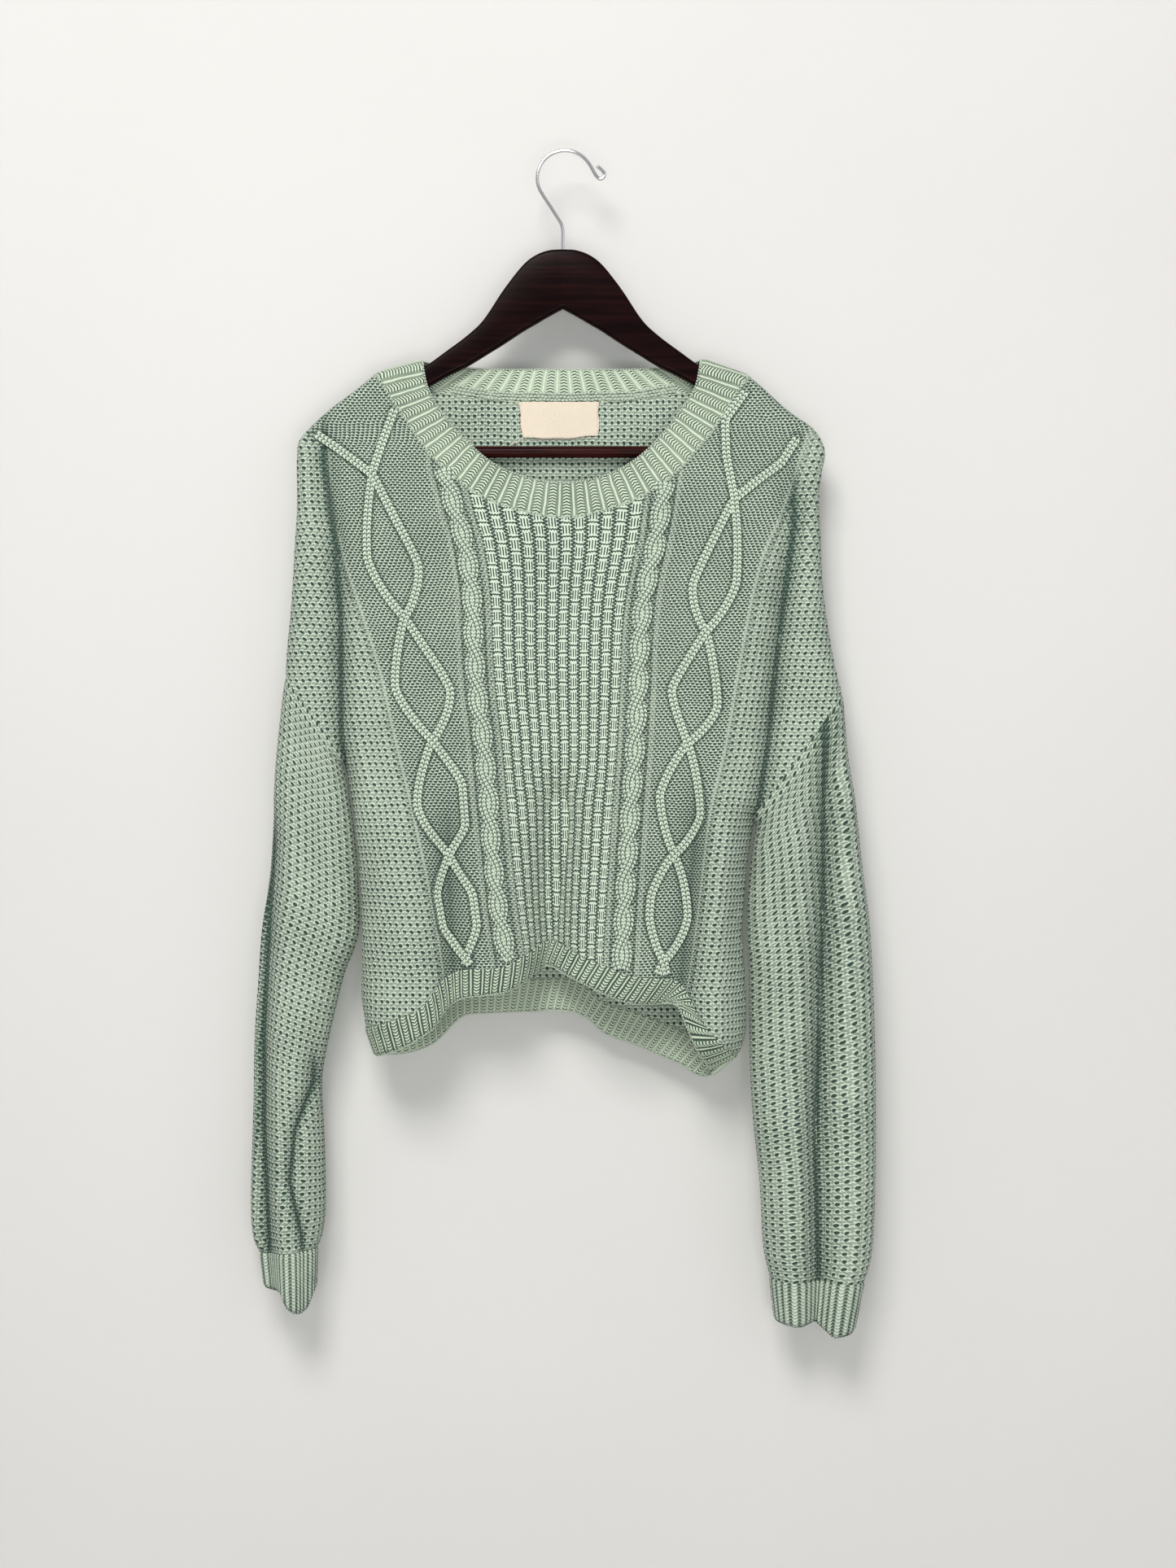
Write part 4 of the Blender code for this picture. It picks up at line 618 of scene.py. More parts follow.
def face_out(thing):
    """The object with the faces of its closed mesh turned outward, told by the sign of its volume."""
    mesh = thing.data
    mesh.calc_loop_triangles()
    corners = np.empty(len(mesh.loop_triangles) * 3, np.int32)
    mesh.loop_triangles.foreach_get("vertices", corners)
    points = np.empty(len(mesh.vertices) * 3)
    mesh.vertices.foreach_get("co", points)
    points = points.reshape(-1, 3)
    a, b, c = (points[corners.reshape(-1, 3)[:, k]] for k in range(3))
    if np.sum(a * np.cross(b, c)) < 0:
        mesh.flip_normals()
    return thing


# ---------------------------------------------------------------- fine cloth
def shares(count, ease_start=False, ease_end=False):
    """Shares from 0 to 1, closer together at an eased end."""
    value = np.linspace(0, 1, count + 1)
    if ease_start:
        value = value ** 1.6
    if ease_end:
        value = 1 - (1 - value) ** 1.6
    return value


PATCH_CELLS_FRONT = (62, 34, 42, 74, 42, 34, 62)    # across each patch between two lines of knitting
PATCH_CELLS_BACK = (52, 30, 92, 30, 52)
ROW_CELLS_FRONT = (134, 128)    # above and below the armpits
ROW_CELLS_BACK = (104, 100)
RUN_STEP_X = 2.0        # grid on which the distance over the folds is summed
RUN_STEP_Z = 6.0
STEEPEST = 1.6          # slope past which a fold's side counts no more


class Cloth:
    """Fine inner face of a panel, the normals its outer points follow, and its stitch coordinates."""

    def __init__(self, panel, cells, row_cells):
        self.panel = panel
        upper = shares(row_cells[0]) ** 1.15 * ARMPIT_ROW
        lower = ARMPIT_ROW + shares(row_cells[1]) * (1 - ARMPIT_ROW)
        self.rows = np.concatenate((upper, lower[1:]))
        columns = [0.0]
        for number, count in enumerate(cells):
            part = shares(count, number == 0, number == len(cells) - 1)
            columns += list(number + part[1:])
        self.columns = np.array(columns)
        patch = np.minimum(self.columns.astype(int), len(cells) - 1)
        share = self.columns - patch
        self.inner = np.stack([panel.surface(p, np.full(len(self.rows), s), self.rows)
                               for p, s in zip(patch, share)], axis=1)
        self.normal = grid_normals(self.inner, -1.0 if panel.front else 1.0)
        self.finish_edges()
        self.measure_run()

    def finish_edges(self):
        """Edge normals: in the seam's plane at folds, along the cut at the armholes and the hem."""
        normal = self.normal
        length = run_length(self.inner, 1)
        above = self.rows <= ARMPIT_ROW + 1e-9
        pit = int(np.sum(above)) - 1
        for side, from_edge in ((0, length), (1, length[:, -1:] - length)):
            column = 0 if side == 0 else -1
            run = np.diff(self.panel.outline.armhole(side), axis=0)[0]
            across = np.array((-run[1], 0, run[0]))
            normal[above] = blend_edge(normal[above], from_edge[above], across, 9.0)
            normal[~above] = blend_edge(normal[~above], from_edge[~above], (0.0, 1.0, 0.0), 0.8)
            for step, share in ((0, 1.0), (1, 0.7), (2, 0.4), (3, 0.2)):
                for row in {pit - step, pit + step}:
                    mixed = normal[row, column] * (1 - share) + np.array((0, 0, -1.0)) * share
                    normal[row, column] = unit(mixed)
        hem = np.gradient(self.inner[-1], axis=0)
        square = np.stack((-hem[:, 2], np.zeros(len(hem)), hem[:, 0]), axis=1)
        rise = np.linalg.norm(self.inner - self.inner[-1:], axis=2)
        near = rise[:, len(self.columns) // 2] < 6
        normal[near] = blend_edge(normal[near], rise[near], square[None], 6.0)
        for column in (0, -1):
            normal[-1, column] = flatten(normal[-1, column], (0, 1, 0))
        corners = self.panel.neck_columns
        shoulder = (self.columns <= corners[0] + 1e-6) | (self.columns >= corners[1] - 1e-6)
        normal[0, shoulder] = flatten(normal[0, shoulder], (0, 1, 0))

    def measure_run(self):
        """Distance along the cloth at each height, summed over its folds."""
        outline = self.panel.outline
        self.run_x = np.arange(-246.0, 247.0, RUN_STEP_X)
        self.run_z = np.arange(-180.0, -805.0, -RUN_STEP_Z)
        x, z = np.meshgrid(self.run_x, self.run_z)
        depth = np.stack([outline.depth(a, b, self.panel.front) for a, b in zip(x, z)])
        slope = np.clip(np.gradient(depth, RUN_STEP_X, axis=1), -STEEPEST, STEEPEST)
        self.run = np.cumsum(np.sqrt(1 + slope ** 2) * RUN_STEP_X, axis=1)

    def along_run(self, x, z):
        """The summed distance at points of the front view."""
        c = np.clip((x - self.run_x[0]) / RUN_STEP_X, 0, len(self.run_x) - 1.001)
        r = np.clip((self.run_z[0] - z) / RUN_STEP_Z, 0, len(self.run_z) - 1.001)
        i, j = r.astype(int), c.astype(int)
        s, t = r - i, c - j
        upper = self.run[i, j] * (1 - t) + self.run[i, j + 1] * t
        lower = self.run[i + 1, j] * (1 - t) + self.run[i + 1, j + 1] * t
        return upper * (1 - s) + lower * s

    def from_line(self, line, x, z):
        """Distance over the cloth, at one height, from a knitting line to points; positive to +X."""
        curve = spline(line)[::-1]
        return self.along_run(x, z) - self.along_run(np.interp(z, curve[:, 1], curve[:, 0]), z)

    def at(self, grid, column, row):
        """Values of one of the cloth's grids at fractional columns and rows."""
        return bilinear(grid, np.asarray(column), np.asarray(row), self.columns, self.rows)

    def edge_distance(self):
        """Distance of each point from the nearest edge of the panel's grid."""
        across, down = run_length(self.inner, 1), run_length(self.inner)
        return np.minimum(np.minimum(across, across[:, -1:] - across),
                          np.minimum(down, down[-1:] - down))


MOSS_ACROSS = 5.6       # from one bump to the next in a row of seed stitch
MOSS_DOWN = 2.95        # from one row to the next
MOSS_RELIEF = 0.42
CREASE_LINE = 2.4       # half width of a crease's dark line
CREASE_SINK = 1.6       # how much deeper the cloth lies in it


def moss_relief(s, t):
    """Puffy bumps of seed stitch from the distances across and down the cloth."""
    return -np.cos(2 * np.pi * s / MOSS_ACROSS) * (0.6 + 0.4 * np.cos(np.pi * t / MOSS_DOWN))


def gauss(distance, width):
    """Soft ridge profile."""
    return np.exp(-(distance / width) ** 2)


def crease_shade(folds, x, z):
    """Painted shade of the creases among the folds at points, from 0 to 1: a soft side and a sharp dark
    line.
    """
    total = np.zeros_like(x)
    for name, height, half_width, path, fade in folds:
        if "crease" in name or "step" in name or "valley" in name:
            narrow = fold_height(((name, 1.0, CREASE_LINE, path, fade),), x, z)
            wide = fold_height(((name, 1.0, half_width * 0.9, path, fade),), x, z)
            line = 0.85 if "crease" in name else 0.25
            total += (line * narrow + 0.45 * wide) * min(1.0, -height / 9.0)
    return np.clip(total, 0, 1)


def wall_depth():
    """Thickness of the knitted wall in millimetres."""
    return bpy.context.scene.sweater.wall / MM


# ---------------------------------------------------------------- pieces of the sweater
def panel_guides(outline, top, bottom, lines, corners):
    """Lines of the knitting from one side seam to the other."""
    guides = [seam_guide(outline, 0)]
    for number, (line, knee) in enumerate(lines, 1):
        first = line[0]
        if number in corners:
            first = outline.shoulders[corners.index(number)][0]
        guides.append(fitted(line, first, top, bottom, knee))
    guides.append(seam_guide(outline, 1))
    return guides


MADE = {}       # cloths, strands and free edges that more than one piece reads
LINES_OUTER_LEFT = ((PANEL_EDGE_LEFT, -480), (CROSSING_LEFT, -465))
LINES_OUTER_RIGHT = ((CROSSING_RIGHT, -500), (PANEL_EDGE_RIGHT, -530))
ROPES = ((ROPE_LEFT, -475), (ROPE_RIGHT, -485))
#                   neck, hem, lines with their heights at the armpits, corners of the neck, cells
PANELS = {"front": (NECK_FRONT, HEM_TOP_FRONT, LINES_OUTER_LEFT + ROPES + LINES_OUTER_RIGHT, (2, 5),
                    PATCH_CELLS_FRONT, ROW_CELLS_FRONT),
          "back": (NECK_BACK, HEM_TOP_BACK, LINES_OUTER_LEFT + LINES_OUTER_RIGHT, (2, 3),
                   PATCH_CELLS_BACK, ROW_CELLS_BACK)}


def cloth_of(word):
    """Fine cloth of the front or the back, made once."""
    if word not in MADE:
        neck, hem, lines, corners, cells, row_cells = PANELS[word]
        outline = Outline()
        top, bottom = whole_top(outline, neck), whole_bottom(outline, hem)
        guides = panel_guides(outline, top, bottom, lines, corners)
        panel = Panel(outline, guides, top, bottom, word == "front", corners)
        MADE[word] = Cloth(panel, cells, row_cells)
    return MADE[word]


def front_stitches(cloth):
    """Relief, stitch coordinates and masks of the front's grid."""
    x, z = cloth.inner[..., 0], cloth.inner[..., 2]
    left = cloth.from_line(PANEL_EDGE_LEFT, x, z)
    right = -cloth.from_line(PANEL_EDGE_RIGHT, x, z)
    rope_left = cloth.from_line(ROPE_LEFT, x, z)
    rope_right = -cloth.from_line(ROPE_RIGHT, x, z)
    middle = x < (np.interp(z, *line_x(ROPE_LEFT)) + np.interp(z, *line_x(ROPE_RIGHT))) / 2
    s = np.where(middle, left, right)
    t = -z
    moss = smooth_step(0.5 - np.minimum(left, right) / 1.2)
    inside = np.minimum(rope_left, rope_right) - ROPE_HALF - ROPE_BESIDE
    blocks = smooth_step(0.5 + inside / 1.2)
    span = np.maximum(rope_left + rope_right - 2 * (ROPE_HALF + ROPE_BESIDE), 20.0)
    block = (rope_left - ROPE_HALF - ROPE_BESIDE) / span * BLOCK_COLUMNS
    ground = (1 - moss) * (1 - blocks)
    # crease is the painted shade of the creases, kept as the fold mask; the cloth also sinks a little there.
    crease = crease_shade(FRONT_FOLDS, x, z)
    ridge = gauss(s - 2.4, 1.5) * 1.1
    for near in (rope_left, rope_right):
        beside = np.abs(near) - ROPE_HALF
        ridge = ridge + (gauss(beside - 2.2, 0.9) + gauss(beside - 4.8, 0.9)) * 0.8
    ridge = ridge * (0.85 + 0.15 * np.cos(2 * np.pi * t / 3.6))
    knit_block = np.mod(np.floor(block) + np.floor(t / BLOCK_HEIGHT), 2)
    soft_across = np.sin(np.pi * np.mod(block, 1)) ** 0.5
    soft_down = np.abs(np.sin(np.pi * np.mod(t / BLOCK_HEIGHT, 1))) ** 0.4
    checker = (0.25 + 0.45 * knit_block) * soft_across * soft_down
    gutter = strand_gutter(x, z)
    for near in (rope_left, rope_right):
        gutter = np.maximum(gutter, gauss(np.abs(near) - ROPE_HALF - 0.5, 0.9))
    gutter = np.maximum(gutter, 0.8 * gauss(s + 0.7, 0.8))
    relief = (moss * MOSS_RELIEF * moss_relief(s, t) - ground * 0.45 + ridge - 0.5 * gutter
              + blocks * checker - CREASE_SINK * crease ** 2)
    masks = {"moss": moss, "blocks": blocks, "block": block, "gutter": gutter,
             "ridge": np.clip(ridge, 0, 1), "fold": crease}
    return relief, np.stack((s, t), axis=-1), masks


def line_x(line):
    """Heights and places of a knitting line, heights rising."""
    curve = spline(line)[::-1]
    return curve[:, 1], curve[:, 0]


def coarse(grid, step):
    """Every few rows and columns of a grid, its edges kept."""
    rows, columns = (np.unique(np.append(np.arange(0, size, step), size - 1)) for size in grid.shape[:2])
    return grid[np.ix_(rows, columns)]


def panel_wall(name, cloth, relief, stitch, masks, step):
    """Closed wall of a panel, its inner face on a coarser grid."""
    relief = relief * smooth_step(cloth.edge_distance() / 3.0)
    cloth.outer = cloth.inner + cloth.normal * (wall_depth() + relief)[..., None]
    inside = {key: coarse(value, step) for key, value in masks.items()}
    return closed_wall(name, cloth.outer, coarse(cloth.inner, step), False, not cloth.panel.front, stitch,
                       coarse(stitch, step), masks, inside)


def make_front_wall():
    """Front panel with its seed stitch, its checkerboard and its fine ridges."""
    cloth = cloth_of("front")
    relief, stitch, masks = front_stitches(cloth)
    return panel_wall("sweater_front", cloth, relief, stitch, masks, 5)


def make_back_wall():
    """Back panel in seed stitch on both faces."""
    cloth = cloth_of("back")
    x, z = cloth.inner[..., 0], cloth.inner[..., 2]
    s = cloth.from_line(BACK_MIDDLE, x, z)
    # The fold mask holds the painted shade of the creases.
    return panel_wall("sweater_back", cloth, MOSS_RELIEF * moss_relief(s, -z), np.stack((s, -z), axis=-1),
                      {"fold": crease_shade(BACK_FOLDS, x, z)}, 3)


# ---------------------------------------------------------------- strands and cables
PATH_ROWS = np.linspace(0.004, 0.994, 900)      # row shares at which a path down the front is read
CROSS_REACH = 7.0       # how far from a crossing the upper strand starts to climb
CROSS_RISE = 1.7
CORE_STEP = 3.0         # between two cross-sections of a strand's core
CABLE_STEP = 2.9
CABLE_SWING = 4.3       # from the cable's middle to the middle of a ply
# Where each strand starts and how it runs to its pair's first crossing: by patch and side.
STRAND_TOPS = {(1, -1): ((-211.5, -243.5), (-190, -258), (-163, -279)),
               (1, 1): ((-143.5, -222), (-155, -253), (-163, -279)),
               (4, -1): ((157, -207), (139, -232), (140, -262), (147, -300)),
               (4, 1): ((201, -247), (187, -269), (168, -283), (147, -300))}


def smoothed(values, window):
    """Running mean along each column of points, with its ends kept."""
    kernel = np.hanning(2 * window + 1)
    kernel = kernel / kernel.sum()
    padded = (np.concatenate((np.full(window, column[0]), column, np.full(window, column[-1])))
              for column in values.T)
    return np.stack([np.convolve(column, kernel, mode="same")[window:-window] for column in padded], axis=-1)


def strand_lines():
    """Front-view lines of the four strands with their rise; the first of each pair lies over."""
    if "strands" in MADE:
        return MADE["strands"]
    cloth = cloth_of("front")
    guides = cloth.panel.guides
    lines = []
    for patch, table in ((1, LATTICE_LEFT), (4, LATTICE_RIGHT)):
        crossing = guides[patch + 1].at(PATH_ROWS)
        widths = [np.linalg.norm(guides[g].at(PATH_ROWS) - crossing, axis=1) for g in (patch, patch + 2)]
        z = crossing[:, 1]
        for start_side in (-1, 1):
            offset, side = np.zeros_like(z), start_side
            for here, after in zip(table[:-1], table[1:]):
                share = np.clip((here[0] - z) / (here[0] - after[0]), 0, 1)
                reach = here[1] if side < 0 else here[2]
                bow = 0.55 * np.sin(np.pi * share) ** 0.85 + 0.45 * (1 - np.abs(2 * share - 1))
                offset = np.where((z <= here[0]) & (z > after[0]), side * reach * bow, offset)
                side = -side
            keep = (0, ROPE_HALF + 4.0) if patch == 1 else (ROPE_HALF + 4.0, 0)
            low, high = (np.maximum(w - STRAND_HALF - STRAND_BESIDE - k, 0) for w, k in zip(widths, keep))
            offset = np.clip(offset, -low, high)
            column = patch + 1 + np.where(offset < 0, offset / widths[0], offset / widths[1])
            flat = cloth.at(cloth.inner, column, PATH_ROWS)[:, [0, 2]]
            top = np.array(STRAND_TOPS[(patch, start_side)], float)
            flat = np.vstack((top, flat[flat[:, 1] < top[-1, 1] - 4.0]))
            flat = smoothed(along(flat, np.linspace(0, 1, 700)), 7)
            height = np.zeros(len(flat))
            if start_side < 0:
                for here in table[1:-1]:
                    height += gauss(flat[:, 1] - here[0], CROSS_REACH) * CROSS_RISE
            lines.append((flat, height))
    MADE["strands"] = lines
    return lines


def strand_gutter(x, z):
    """Line of holes on both sides of each strand, at points of the front view, which the front's material
    paints dark as shade.
    """
    total = np.zeros_like(x)
    for flat, _height in strand_lines():
        few = flat[::5]
        for number in range(len(x)):
            gap = np.hypot(x[number][:, None] - few[:, 0], z[number][:, None] - few[:, 1]).min(axis=1)
            total[number] = np.maximum(total[number], gauss(gap - STRAND_HALF - 0.5, 0.9))
    return total


def evenly(points, normal, step):
    """Points and normals of a path at even steps."""
    length = run_length(points)
    where = np.linspace(0, 1, int(length[-1] / step) + 1)
    return [read_at(values, length / length[-1], where) for values in (points, normal)]


def surface_path(flat, height, step):
    """Points and normals at even steps along a front-view line laid on the front's cloth."""
    x, z = flat.T
    reach = 1.5

    def depth(right, up):
        return cloth_of("front").panel.outline.depth(x + right, z + up, True)

    slope_x = (depth(reach, 0) - depth(-reach, 0)) / (2 * reach)
    slope_z = (depth(0, reach) - depth(0, -reach)) / (2 * reach)
    normal = unit(np.stack((-slope_x, -np.ones_like(x), -slope_z), axis=-1))
    points = np.stack((x, -depth(0, 0) - SEAM_GAP / 2, z), axis=-1)
    points, normal = evenly(points + normal * (wall_depth() + height)[:, None], normal, step)
    return points, unit(smoothed(normal, 3))


def ribbon(points, normal, half, rise, lobes, samples):
    """Grid of a soft ribbon's cross-sections: lobes side by side on a rounded base."""
    across = np.linspace(-1, 1, samples)
    side = unit(np.cross(unit(np.gradient(points, axis=0)), normal))
    bulge = rise * (1 - across ** 2) ** 0.5 + 0.25 * rise * np.abs(np.cos(np.pi * lobes * (across + 1) / 2))
    return (points[:, None] + side[:, None] * (across * half)[None, :, None]
            + normal[:, None] * (bulge - 1.1)[None, :, None])


def ribbon_wall(name, grids):
    """One object of closed ribbons, each an outer grid with its flat underside."""
    points, faces, start = [], [], 0
    for grid in grids:
        mix = np.linspace(0, 1, grid.shape[1])[None, 1:-1, None]
        under = grid[:, :1] * (1 - mix) + grid[:, -1:] * mix
        ring = np.concatenate((grid, under[:, ::-1]), axis=1)
        faces += round_faces(ring, start)
        points.append(ring.reshape(-1, 3))
        start += len(points[-1])
    return face_out(add_mesh(name, np.vstack(points), faces))


class Stitches:
    """Places of knit stitches: points, directions and sizes, filled row by row."""

    def __init__(self):
        self.points, self.turns, self.sizes = [], [], []

    def add(self, points, along_way, normal, size):
        """One stitch at each point, its length along a direction and its top along the normal."""
        side = unit(np.cross(along_way, normal))
        up = unit(np.cross(side, along_way))
        for place, x, y, z in zip(points, side, unit(along_way), up):
            self.points.append(place)
            self.turns.append(tuple(Matrix((x, y, z)).transposed().to_euler("XYZ")))
            self.sizes.append(size)

    def add_facing(self, place, way, size):
        """One stitch on the inside of the back, its top to the front."""
        self.add(np.array([place]), np.array([way]), np.array([(0, -1.0, 0)]), size)

    def chain(self, points, normal, lateral, rise, pitch, size, lean):
        """Chain of V stitches beside a path: two leaves for each stitch, leaning to each other."""
        length = run_length(points)
        count = max(1, int(length[-1] / pitch))
        where = (np.arange(count) + 0.5) / count
        mid, out, way = (read_at(values, length / length[-1], where)
                         for values in (points, normal, unit(np.gradient(points, axis=0))))
        out, way = unit(out), unit(way)
        side = unit(np.cross(way, out))
        for sign in (-1, 1):
            spot = mid + side * (lateral + sign * size[0] * 0.42) + out * rise
            self.add(spot, way + side * sign * lean, out, size)


def leaf_mesh(name, segments, rings):
    """Plump pointed leaf of unit length along Y."""
    points = [(0.0, -0.5, 0.0)]
    for k in range(1, rings):
        share = k / rings
        wide = math.sin(math.pi * share) ** 0.7 * 0.5
        for m in range(segments):
            turn = FULL_TURN * m / segments
            points.append((wide * math.cos(turn), share - 0.5, wide * math.sin(turn)))
    points.append((0.0, 0.5, 0.0))
    last = 1 + (rings - 2) * segments
    faces = []
    for m in range(segments):
        after = (m + 1) % segments
        faces.append((0, 1 + m, 1 + after))
        faces.append((len(points) - 1, last + after, last + m))
        for k in range(rings - 2):
            a, b = 1 + k * segments, 1 + (k + 1) * segments
            faces.append((a + m, b + m, b + after, a + after))
    mesh = bpy.data.meshes.new(name)
    mesh.from_pydata(points, [], faces)
    mesh.shade_smooth()
    return link_object(name, mesh)


def stitch_tree(name):
    """Geometry Nodes tree that puts a leaf at each point, turned and sized by attributes."""
    tree = bpy.data.node_groups.new(name, "GeometryNodeTree")
    for label, way, kind in (("Geometry", "INPUT", "Geometry"), ("Leaf", "INPUT", "Object"),
                             ("Yarn", "INPUT", "Material"), ("Geometry", "OUTPUT", "Geometry")):
        tree.interface.new_socket(label, in_out=way, socket_type="NodeSocket" + kind)
    start, end, leaf, turn, size, euler, place, real, paint = (tree.nodes.new(kind) for kind in (
        "NodeGroupInput", "NodeGroupOutput", "GeometryNodeObjectInfo", "GeometryNodeInputNamedAttribute",
        "GeometryNodeInputNamedAttribute", "FunctionNodeEulerToRotation", "GeometryNodeInstanceOnPoints",
        "GeometryNodeRealizeInstances", "GeometryNodeSetMaterial"))
    for node, key in ((turn, "turn"), (size, "size")):
        node.data_type = "FLOAT_VECTOR"
        node.inputs["Name"].default_value = key
    for source, output, target, slot in (
            (start, "Leaf", leaf, "Object"), (start, "Geometry", place, "Points"),
            (leaf, "Geometry", place, "Instance"), (turn, "Attribute", euler, "Euler"),
            (euler, "Rotation", place, "Rotation"), (size, "Attribute", place, "Scale"),
            (place, "Instances", real, "Geometry"), (real, "Geometry", paint, "Geometry"),
            (start, "Yarn", paint, "Material"), (paint, "Geometry", end, "Geometry")):
        tree.links.new(source.outputs[output], target.inputs[slot])
    return tree


def stitched(name, stitches, made, segments=6, rings=4):
    """Plain mesh of all the stitches, each a plump leaf."""
    holder = bpy.data.meshes.new(name + "_places")
    holder.from_pydata((np.array(stitches.points) * MM).tolist(), [], [])
    for key, values in (("turn", stitches.turns), ("size", np.array(stitches.sizes) * MM)):
        layer = holder.attributes.new(key, "FLOAT_VECTOR", "POINT")
        layer.data.foreach_set("vector", np.asarray(values, np.float32).ravel())
    base = link_object(name + "_places", holder)
    leaf = leaf_mesh(name + "_leaf", segments, rings)
    tree = stitch_tree(name + "_tree")
    modifier = base.modifiers.new("stitches", "NODES")
    modifier.node_group = tree
    for item in tree.interface.items_tree:
        if item.in_out == "INPUT" and item.name in ("Leaf", "Yarn"):
            modifier[item.identifier] = leaf if item.name == "Leaf" else made
    bpy.context.view_layer.update()
    graph = bpy.context.evaluated_depsgraph_get()
    mesh = bpy.data.meshes.new_from_object(base.evaluated_get(graph), depsgraph=graph)
    mesh.name = name
    for thing in (base, leaf):
        data = thing.data
        bpy.data.objects.remove(thing)
        bpy.data.meshes.remove(data)
    bpy.data.node_groups.remove(tree)
    mesh.shade_smooth()
    return link_object(name, mesh)


def make_strands(yarn):
    """Two pairs of travelling strands that cross and part again: soft ribbons under chains of stitches."""
    grids, places = [], Stitches()
    for flat, height in strand_lines():
        points, normal = surface_path(flat, height - 0.1, CORE_STEP)
        grids.append(ribbon(points, normal, STRAND_HALF, 1.4, 2, 11))
        for lateral in (-1.9, 1.9):
            places.chain(points, normal, lateral, 0.6, 3.7, (1.8, 4.4, 1.6), 0.42)
    return ribbon_wall("strand_cores", grids), stitched("strand_stitches", places, yarn)


def make_cables(yarn):
    """Two rope cables: two plies that wind round each other down the front."""
    cloth = cloth_of("front")
    grids, places = [], Stitches()
    for guide, turn_way in ((3, 1), (4, -1)):
        column = np.full(len(PATH_ROWS), float(guide))
        centre = cloth.at(cloth.inner, column, PATH_ROWS)
        normal = unit(cloth.at(cloth.normal, column, PATH_ROWS))
        length = run_length(centre)
        side = unit(np.cross(unit(np.gradient(centre, axis=0)), normal))
        ends = smooth_step(np.minimum(length, length[-1] - length) / 8.0)
        for ply in (0, 1):
            phase = np.pi * length / CABLE_CROSS + ply * np.pi
            lateral = CABLE_SWING * np.cos(phase) * turn_way
            lift = 1.25 + 1.35 * np.sin(phase)
            points = centre + side * lateral[:, None] + normal * (wall_depth() + lift * ends)[:, None]
            points, out = evenly(points, normal, CABLE_STEP)
            out = unit(out)
            grids.append(ribbon(points, out, 4.5, 2.6, 3, 13))
            for across, rise in ((-2.9, 0.9), (0.0, 1.9), (2.9, 0.9)):
                places.chain(points, out, across, rise, 3.5, (1.6, 4.2, 1.7), 0.3)
    return ribbon_wall("cable_cores", grids), stitched("cable_stitches", places, yarn)


def within(values, ends, gap=0.0):
    """Which values lie from one end to the other; a gap leaves out the ends."""
    return (values >= ends[0] + gap - EXACT) & (values <= ends[1] - gap + EXACT)


def edge_line(cloth, chosen, rise):
    """Points and normals along the chosen columns of a panel's top edge."""
    normal = cloth.normal[0][chosen]
    return cloth.inner[0][chosen] + normal * rise, unit(normal)


def make_linking(yarn):
    """Row of small plump stitches that links the neckband to the body, and three rows inside behind."""
    places = Stitches()
    for cloth in (cloth_of("front"), cloth_of("back")):
        points, normal = edge_line(cloth, within(cloth.columns, cloth.panel.neck_columns), wall_depth())
        places.chain(points, normal, 0.0, 0.15, 3.1, (1.5, 3.5, 1.7), 0.75)
    rng = np.random.default_rng(SEED)
    x = np.linspace(-96, 96, 61)
    for drop, shift in ((0.0, 0.0), (2.7, 1.6), (5.4, 0.0)):
        z = np.interp(np.abs(x), (0, 60, 96), (-207.0, -205.5, -199.5)) - drop
        y = cloth_of("back").panel.outline.depth(x, z, False) - 0.9
        for k in range(len(x)):
            lean = rng.uniform(-0.5, 0.5)
            places.add_facing((x[k] + shift, y[k], z[k] + rng.uniform(-0.4, 0.4)), (1.0, 0, lean),
                              (2.6, 4.0, 2.0))
    front = cloth_of("front")
    for ends in ((0, 2), (5, 7)):
        points, normal = edge_line(front, within(front.columns, ends), wall_depth() - 0.3)
        places.chain(points, normal, 0.0, 0.1, 3.2, (1.4, 3.4, 1.4), 0.6)
    return stitched("neck_linking", places, yarn)


# ---------------------------------------------------------------- ribbed bands
RIB_RELIEF = 1.3
INNER_RIB_RELIEF = 0.55
RIB_SAMPLES = 10        # columns of the grid for each rib


def make_edge_loops(name, yarn):
    """Row of small cast-off loops along a band's free edge."""
    places = Stitches()
    places.chain(*MADE[name], 0.0, 0.0, 2.5, (1.7, 2.7, 2.0), 0.55)
    return stitched(name + "_loops", places, yarn)


def rib_profile(share):
    """Height across one rib: a broad strip of rungs, and a narrow raised line where it meets the next."""
    away = np.abs(share - 0.5)
    return smooth_step((0.42 - away) / 0.16) * 0.85 + 0.95 * smooth_step((away - 0.38) / 0.09)


